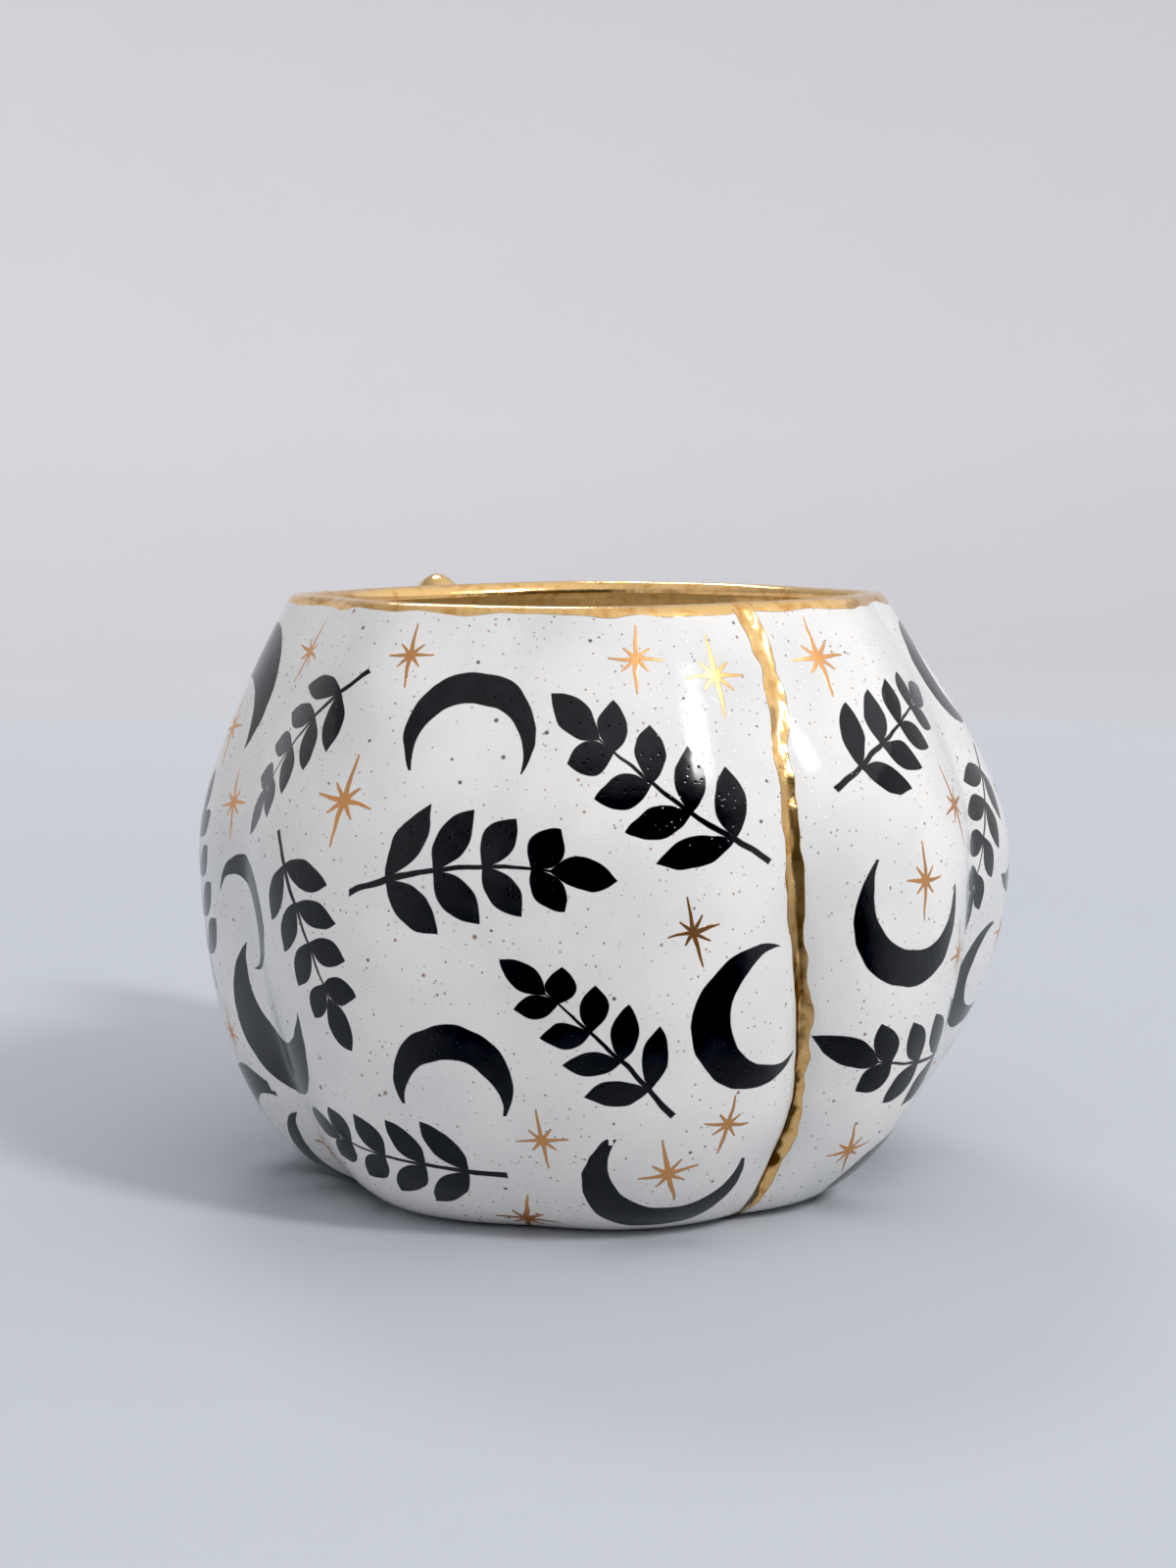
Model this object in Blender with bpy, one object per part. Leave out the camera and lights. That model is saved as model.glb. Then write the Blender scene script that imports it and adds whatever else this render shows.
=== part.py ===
"""A hand-built stoneware mug: a plump lobed body with one deep crease and a round handle.

The mug is one fired piece of clay. It stands on the plane z = 0, with the origin at the centre of
its flat foot. The crease faces -Y and the handle stands out along +Y. Lengths are in metres.
"""

import math

import bmesh
import bpy
from mathutils import Vector

# Overall form of the body
MUG_HEIGHT = 0.0905
RIM_RADIUS = 0.0458
BELLY_RADIUS = 0.0625
BELLY_HEIGHT = 0.049
FOOT_RADIUS = 0.0375
WALL = 0.0042
FLOOR = 0.0060

# Reach of the curves that draw the outline from the foot to the belly, and from the belly to the rim
HEEL_REACH = 0.0105
FLANK_REACH = 0.0285
SHOULDER_REACH = 0.0118
NECK_REACH = 0.0200
NECK_LEAN_DEG = 30.0

# What the hand left uneven: the belly sags to +X, the plan is a little oval, and the rim is not
# level, which starts above this share of the height
BELLY_SAG = 0.0034
SAG_SHARPNESS = 1.3
PLAN_OVAL = 0.0009
RIM_TILT = 0.0006
RIM_TILT_ANGLE = 140.0
RIM_WAVE = 0.00025
RIM_WAVES = 3
LIFT_ABOVE = 0.5

# The lobes between the valleys stand out by this much
LOBE_COUNT = 8
LOBE_SWELL = 0.0008

# The crease, from the rim to the foot: a wide fold with a narrow groove in its bottom
CREASE_DEPTH_RIM = 0.0008
CREASE_DEPTH_LOW = 0.0042
CREASE_HALF_WIDTH = 0.0074
GROOVE_DEPTH = 0.0008
GROOVE_HALF_WIDTH = 0.0019

# Near the foot the crease runs out to this share of its depth, below this share of the height
CREASE_FOOT_SHARE = 0.25
CREASE_RUN_OUT = 0.14

# Where the crease wanders sideways: shares of the mug's height, and degrees round the body
CREASE_PATH = ((0.0, 6.2), (0.17, 6.8), (0.36, 2.9), (0.55, -0.5), (0.76, 0.5), (0.88, 3.2), (1.0, 2.5))

# The softer valleys: degrees round the body, depth at the rim, depth low down
VALLEYS = (
    (41.0, 0.0008, 0.0050),
    (90.0, 0.0003, 0.0012),
    (135.0, 0.0003, 0.0012),
    (-135.0, 0.0003, 0.0012),
    (-87.0, 0.0016, 0.0034),
    (-43.0, 0.0003, 0.0010),
)
VALLEY_HALF_WIDTH = 0.0120
VALLEY_SHARPNESS = 1.5
DEEP_BELOW = 0.25

# The inside follows the folds of the outside, but more softly
INSIDE_FOLD_SHARE = 0.82

# The handle, a coil of clay bent into an ear: where it joins the wall and how far it stands off
HANDLE_WIDTH = 0.0098
HANDLE_THICKNESS = 0.0088
TOP_JOIN_BELOW_RIM = 0.0120
LOW_JOIN_HEIGHT = 0.0275
CROWN_BELOW_RIM = 0.0009
CROWN_OUT = 0.0118
FINGER_GAP = 0.0264
MIDDLE_BELOW_RIM = 0.0305
TOP_SWING = 0.0058
MIDDLE_SWING = 0.0206
LOW_SWING = 0.0200
HANDLE_FLARE = 0.50
HANDLE_FLARE_LENGTH = 0.0060

# The thumb rest, a small point pinched up out of the handle at its crown
THUMB_REST_RISE = 0.0026
THUMB_REST_HALF_LENGTH = 0.0036

# How finely the surfaces are divided
COLUMNS = 84
COLUMN_CROWDING = 0.55
LOWER_STEPS = 12
UPPER_STEPS = 10
LIP_STEPS = 5
HANDLE_STEPS = 10
HANDLE_SIDES = 14
SMOOTH_ANGLE = 50.0

# How far the control points of a cubic curve reach along the sides of a quarter ellipse
QUARTER_ELLIPSE = 0.5523
HALVINGS = 40
ACROSS = Vector((1.0, 0.0, 0.0))
BACK = Vector((0.0, 1.0, 0.0))
UP = Vector((0.0, 0.0, 1.0))

# The glaze seen from a step away
GLAZE_COLOUR = (0.80, 0.79, 0.77, 1.0)
GLAZE_ROUGHNESS = 0.12


def clear_scene():
    """Removes every object that the file opened with."""
    for thing in list(bpy.data.objects):
        bpy.data.objects.remove(thing, do_unlink=True)


def cubic_point(corners, share):
    """Point at a share of a cubic curve with four control points."""
    rest = 1.0 - share
    return (
        corners[0] * rest**3
        + corners[1] * (3.0 * rest * rest * share)
        + corners[2] * (3.0 * rest * share * share)
        + corners[3] * share**3
    )


def cubic_heading(corners, share):
    """Unit direction of travel at a share of a cubic curve."""
    rest = 1.0 - share
    heading = (
        (corners[1] - corners[0]) * (rest * rest)
        + (corners[2] - corners[1]) * (2.0 * rest * share)
        + (corners[3] - corners[2]) * (share * share)
    )
    return heading.normalized()


def smooth_step(low, high, value):
    """Rises smoothly from 0 at low to 1 at high."""
    share = min(max((value - low) / (high - low), 0.0), 1.0)
    return share * share * (3.0 - 2.0 * share)


def lower_outline():
    """Control points of the outline from the foot's edge to the belly, as radius and height."""
    return (
        Vector((FOOT_RADIUS, 0.0)),
        Vector((FOOT_RADIUS + HEEL_REACH, 0.0)),
        Vector((BELLY_RADIUS, BELLY_HEIGHT - FLANK_REACH)),
        Vector((BELLY_RADIUS, BELLY_HEIGHT)),
    )


def upper_outline():
    """Control points of the outline from the belly to where the rounded lip begins."""
    lean = math.radians(NECK_LEAN_DEG)
    lip_start = Vector((RIM_RADIUS, MUG_HEIGHT - WALL / 2.0 * (1.0 - math.sin(lean))))
    return (
        Vector((BELLY_RADIUS, BELLY_HEIGHT)),
        Vector((BELLY_RADIUS, BELLY_HEIGHT + SHOULDER_REACH)),
        lip_start + Vector((math.sin(lean), -math.cos(lean))) * NECK_REACH,
        lip_start,
    )


def outward(heading):
    """Direction out of the clay, for an outline that is travelled upwards."""
    return Vector((heading.y, -heading.x))


def outline_rings():
    """Rings of the body as (radius, height, fold share), from the foot over the rim to the floor."""
    outside = []
    inside = []
    spans = (
        (lower_outline(), range(LOWER_STEPS), LOWER_STEPS, FLOOR),
        (upper_outline(), range(UPPER_STEPS + 1), UPPER_STEPS, WALL),
    )
    for corners, rows, steps, start_thickness in spans:
        for step in rows:
            share = step / steps
            point = cubic_point(corners, share)
            thickness = WALL + (start_thickness - WALL) * (1.0 - share) ** 2
            skin = point - outward(cubic_heading(corners, share)) * thickness
            outside.append((point.x, point.y, 1.0))
            inside.append((skin.x, skin.y, INSIDE_FOLD_SHARE))
    side = outward(cubic_heading(corners, 1.0)) * (WALL / 2.0)
    middle = corners[3] - side
    over = Vector((-side.y, side.x))
    lip = []
    for step in range(1, LIP_STEPS):
        turn = math.pi * step / LIP_STEPS
        point = middle + side * math.cos(turn) + over * math.sin(turn)
        fold = 1.0 + (INSIDE_FOLD_SHARE - 1.0) * step / LIP_STEPS
        lip.append((point.x, point.y, fold))
    return outside + lip + inside[::-1]


def crease_turn(height):
    """Degrees by which the crease stands aside at a height, smooth through its listed places."""
    share = min(max(height / MUG_HEIGHT, 0.0), 1.0)
    last = len(CREASE_PATH) - 1
    row = 0
    while row < last - 1 and share > CREASE_PATH[row + 1][0]:
        row += 1
    before, start = CREASE_PATH[max(row - 1, 0)], CREASE_PATH[row]
    end, after = CREASE_PATH[row + 1], CREASE_PATH[min(row + 2, last)]
    span = end[0] - start[0]
    slope_start = (end[1] - before[1]) / (end[0] - before[0]) * span
    slope_end = (after[1] - start[1]) / (after[0] - start[0]) * span
    along = (share - start[0]) / span
    return (
        start[1] * (1.0 + 2.0 * along) * (1.0 - along) ** 2
        + slope_start * along * (1.0 - along) ** 2
        + end[1] * along * along * (3.0 - 2.0 * along)
        + slope_end * along * along * (along - 1.0)
    )


def arc_from(angle, place):
    """Length round the belly between two angles in degrees, the shorter way."""
    gap = (angle - place + 180.0) % 360.0 - 180.0
    return abs(math.radians(gap)) * BELLY_RADIUS


def fold_depth(angle, height):
    """How far the crease and the valleys press the wall in at an angle in degrees."""
    low = 1.0 - smooth_step(DEEP_BELOW, 1.0, height / MUG_HEIGHT)
    depth = 0.0
    for place, rim_depth, low_depth in VALLEYS:
        reach = arc_from(angle, place) / VALLEY_HALF_WIDTH
        depth += (rim_depth + (low_depth - rim_depth) * low) * math.exp(-(reach**VALLEY_SHARPNESS))
    crease = CREASE_DEPTH_RIM + (CREASE_DEPTH_LOW - CREASE_DEPTH_RIM) * low
    reach = arc_from(angle, 0.0) / CREASE_HALF_WIDTH
    run_out = CREASE_FOOT_SHARE + (1.0 - CREASE_FOOT_SHARE) * smooth_step(0.0, CREASE_RUN_OUT, height / MUG_HEIGHT)
    fold = crease * math.exp(-(reach**VALLEY_SHARPNESS))
    fold += GROOVE_DEPTH * low * math.exp(-((arc_from(angle, 0.0) / GROOVE_HALF_WIDTH) ** 2))
    return depth + fold * run_out


def body_point(angle, radius, height, fold):
    """Point of the body's skin at an angle in degrees, with the lobes and folds worked in."""
    share = min(max(height / MUG_HEIGHT, 0.0), 1.0)
    bulge = math.sin(math.pi * share)
    lobe = LOBE_SWELL * (0.5 - 0.5 * math.cos(math.radians(angle * LOBE_COUNT)))
    oval = -PLAN_OVAL * math.cos(2.0 * math.radians(angle)) * bulge
    reach = radius + lobe + oval - fold * fold_depth(angle, height)
    near_crease = 0.5 + 0.5 * math.cos(math.radians(angle))
    turned = math.radians(angle + crease_turn(height) * near_crease)
    sag = BELLY_SAG * bulge**SAG_SHARPNESS
    lift = RIM_TILT * math.cos(math.radians(angle - RIM_TILT_ANGLE))
    lift += RIM_WAVE * math.sin(math.radians(angle * RIM_WAVES))
    lift *= smooth_step(LIFT_ABOVE, 1.0, share)
    return Vector((reach * math.sin(turned) + sag, -reach * math.cos(turned), height + lift))


def column_angles():
    """Angles of the body's columns in degrees, closest together at the crease."""
    angles = []
    for column in range(COLUMNS):
        even = 2.0 * math.pi * column / COLUMNS - math.pi
        angles.append(math.degrees(even - COLUMN_CROWDING * math.sin(even)))
    return angles


def build_body():
    """The hollow body as a bmesh, closed over the foot and over the floor inside."""
    mesh = bmesh.new()
    angles = column_angles()
    rings = []
    for radius, height, fold in outline_rings():
        rings.append([mesh.verts.new(body_point(angle, radius, height, fold)) for angle in angles])
    for below, above in zip(rings, rings[1:]):
        for column in range(COLUMNS):
            beside = (column + 1) % COLUMNS
            mesh.faces.new((below[column], below[beside], above[beside], above[column]))
    under = mesh.verts.new((0.0, 0.0, 0.0))
    floor = mesh.verts.new((0.0, 0.0, FLOOR))
    for column in range(COLUMNS):
        beside = (column + 1) % COLUMNS
        mesh.faces.new((rings[0][beside], rings[0][column], under))
        mesh.faces.new((rings[-1][column], rings[-1][beside], floor))
    return mesh


def wall_at(height):
    """Point on the back of the body at a height, and the direction out of the wall, both in the YZ plane."""
    corners = lower_outline() if height < BELLY_HEIGHT else upper_outline()
    low, high = 0.0, 1.0
    for _ in range(HALVINGS):
        middle = 0.5 * (low + high)
        if cubic_point(corners, middle).y < height:
            low = middle
        else:
            high = middle
    radius = cubic_point(corners, low).x
    side = outward(cubic_heading(corners, low))
    point = body_point(180.0, radius, height, 1.0)
    return point, Vector((0.0, side.x, side.y))


def handle_route():
    """Points and directions of travel down the middle of the handle, from the upper joint to the lower one."""
    top, top_out = wall_at(MUG_HEIGHT - TOP_JOIN_BELOW_RIM)
    low, low_out = wall_at(LOW_JOIN_HEIGHT)
    belly, _ = wall_at(BELLY_HEIGHT)
    half = HANDLE_THICKNESS / 2.0
    crown = Vector((top.x, top.y + CROWN_OUT, MUG_HEIGHT - CROWN_BELOW_RIM - half))
    bend = Vector((0.5 * (top.x + low.x), belly.y + FINGER_GAP + half, MUG_HEIGHT - MIDDLE_BELOW_RIM))
    out = bend.y - crown.y
    drop = crown.z - bend.z
    spans = (
        (top - top_out * (WALL / 2.0), top + top_out * TOP_SWING, crown - BACK * TOP_SWING, crown),
        (crown, crown + BACK * (out * QUARTER_ELLIPSE), bend + UP * (drop * QUARTER_ELLIPSE), bend),
        (bend, bend - UP * MIDDLE_SWING, low + low_out * LOW_SWING, low - low_out * (WALL / 2.0)),
    )
    route = []
    for corners in spans:
        first = 1 if route else 0
        for step in range(first, HANDLE_STEPS + 1):
            share = step / HANDLE_STEPS
            route.append((cubic_point(corners, share), cubic_heading(corners, share)))
    return route


def build_handle():
    """The handle as a bmesh: oval rings along its route, wider where they join the body."""
    mesh = bmesh.new()
    route = handle_route()
    distances = [0.0]
    for (before, _), (after, _) in zip(route, route[1:]):
        distances.append(distances[-1] + (after - before).length)
    length = distances[-1]
    crown = distances[HANDLE_STEPS]
    rings = []
    for (point, heading), distance in zip(route, distances):
        to_end = min(distance, length - distance)
        flare = 1.0 + HANDLE_FLARE * math.exp(-to_end / HANDLE_FLARE_LENGTH)
        pinch = THUMB_REST_RISE * math.exp(-(((distance - crown) / THUMB_REST_HALF_LENGTH) ** 2))
        rise = ACROSS.cross(heading).normalized()
        ring = []
        for side in range(HANDLE_SIDES):
            turn = 2.0 * math.pi * side / HANDLE_SIDES
            sideways = math.cos(turn) * HANDLE_WIDTH / 2.0 * flare
            upward = math.sin(turn) * (HANDLE_THICKNESS / 2.0 * flare + pinch * max(math.sin(turn), 0.0))
            ring.append(mesh.verts.new(point + ACROSS * sideways + rise * upward))
        rings.append(ring)
    for before, after in zip(rings, rings[1:]):
        for side in range(HANDLE_SIDES):
            beside = (side + 1) % HANDLE_SIDES
            mesh.faces.new((before[side], before[beside], after[beside], after[side]))
    mesh.faces.new(rings[0][::-1])
    mesh.faces.new(rings[-1])
    return mesh


def add_object(name, mesh, material):
    """Turns a bmesh into a named object with smooth shading and a material."""
    bmesh.ops.recalc_face_normals(mesh, faces=mesh.faces)
    data = bpy.data.meshes.new(name)
    mesh.to_mesh(data)
    mesh.free()
    data.shade_smooth()
    data.set_sharp_from_angle(angle=math.radians(SMOOTH_ANGLE))
    data.materials.append(material)
    thing = bpy.data.objects.new(name, data)
    bpy.context.scene.collection.objects.link(thing)
    return thing


def make_material(name, colour, roughness):
    """A plain glossy surface."""
    material = bpy.data.materials.new(name)
    material.use_nodes = True
    shader = material.node_tree.nodes["Principled BSDF"]
    shader.inputs["Base Color"].default_value = colour
    shader.inputs["Roughness"].default_value = roughness
    shader.inputs["Metallic"].default_value = 0.0
    return material


def build_mug():
    """The mug: the body with its handle luted on, joined into one solid."""
    glaze = make_material("glazed_stoneware", GLAZE_COLOUR, GLAZE_ROUGHNESS)
    mug = add_object("mug", build_body(), glaze)
    coil = add_object("handle_coil", build_handle(), glaze)
    coil.hide_render = True
    coil.display_type = "WIRE"
    join = mug.modifiers.new("join handle", "BOOLEAN")
    join.operation = "UNION"
    join.solver = "EXACT"
    join.object = coil
    return mug


clear_scene()
build_mug()
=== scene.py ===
"""The finished look of a hand-built stoneware mug.

The mug is one fired piece of pale speckled clay: a plump lobed body with a crease down its front and
a round handle at the back. It wears a clear glossy glaze over black painted moons and sprigs, small
gold stars, and gold lustre on the rim, down the crease and on the thumb rest. Its underside is bare.

Lengths are in metres unless a name says otherwise. +Z is up, the crease faces -Y and the handle +Y.
"""

import logging
import math
from collections.abc import Mapping, Sequence
from dataclasses import dataclass, field
from enum import IntEnum

import bmesh
import bpy
import numpy as np
from bpy.types import Material, Mesh, NodeSocket, NodeTree, Object
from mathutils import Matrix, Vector, noise
from mathutils.kdtree import KDTree
from numpy.typing import NDArray


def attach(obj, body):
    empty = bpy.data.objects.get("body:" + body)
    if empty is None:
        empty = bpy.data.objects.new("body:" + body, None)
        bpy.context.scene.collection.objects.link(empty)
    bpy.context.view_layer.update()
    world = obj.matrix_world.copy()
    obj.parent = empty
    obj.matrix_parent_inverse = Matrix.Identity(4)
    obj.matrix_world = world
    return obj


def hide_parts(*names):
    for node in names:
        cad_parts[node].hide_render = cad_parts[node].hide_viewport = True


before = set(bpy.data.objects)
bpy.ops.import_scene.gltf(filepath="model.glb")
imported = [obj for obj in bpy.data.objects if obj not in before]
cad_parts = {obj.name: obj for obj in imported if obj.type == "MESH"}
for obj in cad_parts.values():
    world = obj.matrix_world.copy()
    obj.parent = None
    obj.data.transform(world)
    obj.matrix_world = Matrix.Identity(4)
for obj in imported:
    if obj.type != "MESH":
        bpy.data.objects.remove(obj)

Floats = NDArray[np.float64]
Whole = NDArray[np.int64]

MM = 0.001
TO_MM = 1000.0
DISTANCES = ("from_crease_mm", "below_rim_mm", "from_thumb_rest_mm")
COLOURS = {"out": 2, "data_type": "RGBA"}

log = logging.getLogger("mug")


class Region(IntEnum):
    """The stretches of the mug's skin, in the order of the slots that tell them apart."""

    OUTSIDE = 0
    INSIDE = 1
    UNDERSIDE = 2
    HANDLE = 3


class Motif(IntEnum):
    """The painted figures."""

    NONE = 0
    MOON = 1
    SPRIG = 2
    STAR = 3


def linear_colour(code: str) -> tuple[float, ...]:
    """Turns an sRGB hex code into a linear colour.

    Args:
        code: The colour as "#RRGGBB".

    Returns:
        The linear red, green and blue, and 1 for the alpha.
    """
    parts = [int(code[place : place + 2], 16) / 255.0 for place in (1, 3, 5)]
    return (*(part / 12.92 if part <= 0.04045 else ((part + 0.055) / 1.055) ** 2.4 for part in parts), 1.0)


def smooth_step(low: float, high: float, value: Floats) -> Floats:
    """Rises smoothly from 0 at low to 1 at high.

    Args:
        low: Where the rise starts.
        high: Where it ends.
        value: The numbers to read it at.

    Returns:
        The heights of the step at those numbers.
    """
    share = np.clip((value - low) / (high - low), 0.0, 1.0)
    return share * share * (3.0 - 2.0 * share)


def cubic_points(corners: Floats, shares: Floats) -> Floats:
    """Reads points off a cubic curve.

    Args:
        corners: Its four control points.
        shares: Where to read it, from 0 to 1.

    Returns:
        One point for each share.
    """
    along = shares[:, None]
    rest = 1.0 - along
    return (
        corners[0] * rest**3
        + corners[1] * (3.0 * rest * rest * along)
        + corners[2] * (3.0 * rest * along * along)
        + corners[3] * along**3
    )


def cubic_headings(corners: Floats, shares: Floats) -> Floats:
    """Reads unit directions of travel off a cubic curve.

    Args:
        corners: Its four control points.
        shares: Where to read it, from 0 to 1.

    Returns:
        One direction for each share.
    """
    along = shares[:, None]
    rest = 1.0 - along
    heading = (
        (corners[1] - corners[0]) * rest * rest
        + (corners[2] - corners[1]) * 2.0 * rest * along
        + (corners[3] - corners[2]) * along * along
    )
    return heading / np.linalg.norm(heading, axis=1, keepdims=True)


def noise_at(points: Floats, wavelength: float, seed: float) -> Floats:
    """Smooth noise from -1 to 1 at each point.

    Args:
        points: The places, one a row.
        wavelength: The size of its bumps, in metres.
        seed: Moves the noise, so that two uses differ.

    Returns:
        One value for each point.
    """
    shifted = points / wavelength + seed
    return np.array([noise.noise(Vector(row)) for row in shifted])


@dataclass
class Rings:
    """Rings of the body from the foot over the rim to the floor inside."""

    radius: Floats
    height: Floats
    fold: Floats
    below_rim: Floats
    lip_middle: int


@dataclass
class WallOutline:
    """The outline of the wall, as radius and height."""

    mug_height: float = 0.0905
    rim_radius: float = 0.0458
    belly_radius: float = 0.0625
    belly_height: float = 0.049
    foot_radius: float = 0.0375
    wall: float = 0.0042
    floor: float = 0.0060
    heel_reach: float = 0.0105
    flank_reach: float = 0.0285
    shoulder_reach: float = 0.0118
    neck_reach: float = 0.0200
    neck_lean_deg: float = 30.0
    inside_fold_share: float = 0.82
    lower_steps: int = 62
    upper_steps: int = 54
    lip_steps: int = 18
    inside_lower_steps: int = 36
    inside_upper_steps: int = 34
    search_steps: int = 801

    def lower(self) -> Floats:
        """Control points from the foot's edge to the belly."""
        return np.array((
            (self.foot_radius, 0.0),
            (self.foot_radius + self.heel_reach, 0.0),
            (self.belly_radius, self.belly_height - self.flank_reach),
            (self.belly_radius, self.belly_height),
        ))

    def upper(self) -> Floats:
        """Control points from the belly to where the rounded lip begins."""
        lean = math.radians(self.neck_lean_deg)
        drop = self.wall / 2.0 * (1.0 - math.sin(lean))
        start = np.array((self.rim_radius, self.mug_height - drop))
        return np.array((
            (self.belly_radius, self.belly_height),
            (self.belly_radius, self.belly_height + self.shoulder_reach),
            start + np.array((math.sin(lean), -math.cos(lean))) * self.neck_reach,
            start,
        ))

    @staticmethod
    def outward(headings: Floats) -> Floats:
        """Directions out of the clay, for an outline that is travelled upwards."""
        return np.stack((headings[:, 1], -headings[:, 0]), axis=1)

    def side(self, lower_steps: int, upper_steps: int, depth: float) -> Floats:
        """One side of the wall, from the foot to the lip.

        Args:
            lower_steps: Steps from the foot to the belly.
            upper_steps: Steps from the belly to the lip.
            depth: 0 for the outside of the wall, 1 for its inside.

        Returns:
            Points as radius and height.
        """
        spans = (
            (self.lower(), np.arange(lower_steps) / lower_steps, self.floor),
            (self.upper(), np.arange(upper_steps + 1) / upper_steps, self.wall),
        )
        found = []
        for corners, shares, start in spans:
            thickness = self.wall + (start - self.wall) * (1.0 - shares) ** 2
            out = self.outward(cubic_headings(corners, shares))
            found.append(cubic_points(corners, shares) - out * (thickness * depth)[:, None])
        return np.concatenate(found)

    def rings(self) -> Rings:
        """Every ring of the wall, from the foot over the lip to the floor inside."""
        outside = self.side(self.lower_steps, self.upper_steps, 0.0)
        inside = self.side(self.inside_lower_steps, self.inside_upper_steps, 1.0)[::-1]
        out = self.outward(cubic_headings(self.upper(), np.array([1.0])))[0] * (self.wall / 2.0)
        middle = outside[-1] - out
        over = np.array((-out[1], out[0]))
        turns = math.pi * np.arange(1, self.lip_steps)[:, None] / self.lip_steps
        lip = middle + out * np.cos(turns) + over * np.sin(turns)
        whole = np.concatenate((outside, lip, inside))
        share = self.inside_fold_share
        lip_fold = 1.0 + (share - 1.0) * np.arange(1, self.lip_steps) / self.lip_steps
        fold = np.concatenate((np.ones(len(outside)), lip_fold, np.full(len(inside), share)))
        steps = np.linalg.norm(np.diff(whole, axis=0), axis=1)
        path = np.concatenate(([0.0], np.cumsum(steps)))
        lip_middle = len(outside) - 1 + self.lip_steps // 2
        return Rings(whole[:, 0], whole[:, 1], fold, path[lip_middle] - path, lip_middle)

    def wall_at(self, height: float) -> tuple[float, Floats]:
        """Where the outside stands at a height.

        Args:
            height: The height on the outline.

        Returns:
            Its radius and the direction out of the wall.
        """
        corners = self.lower() if height < self.belly_height else self.upper()
        shares = np.linspace(0.0, 1.0, self.search_steps)
        share = np.interp(height, cubic_points(corners, shares)[:, 1], shares)
        spot = cubic_points(corners, np.array([share]))[0]
        return spot[0], self.outward(cubic_headings(corners, np.array([share])))[0]


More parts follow.
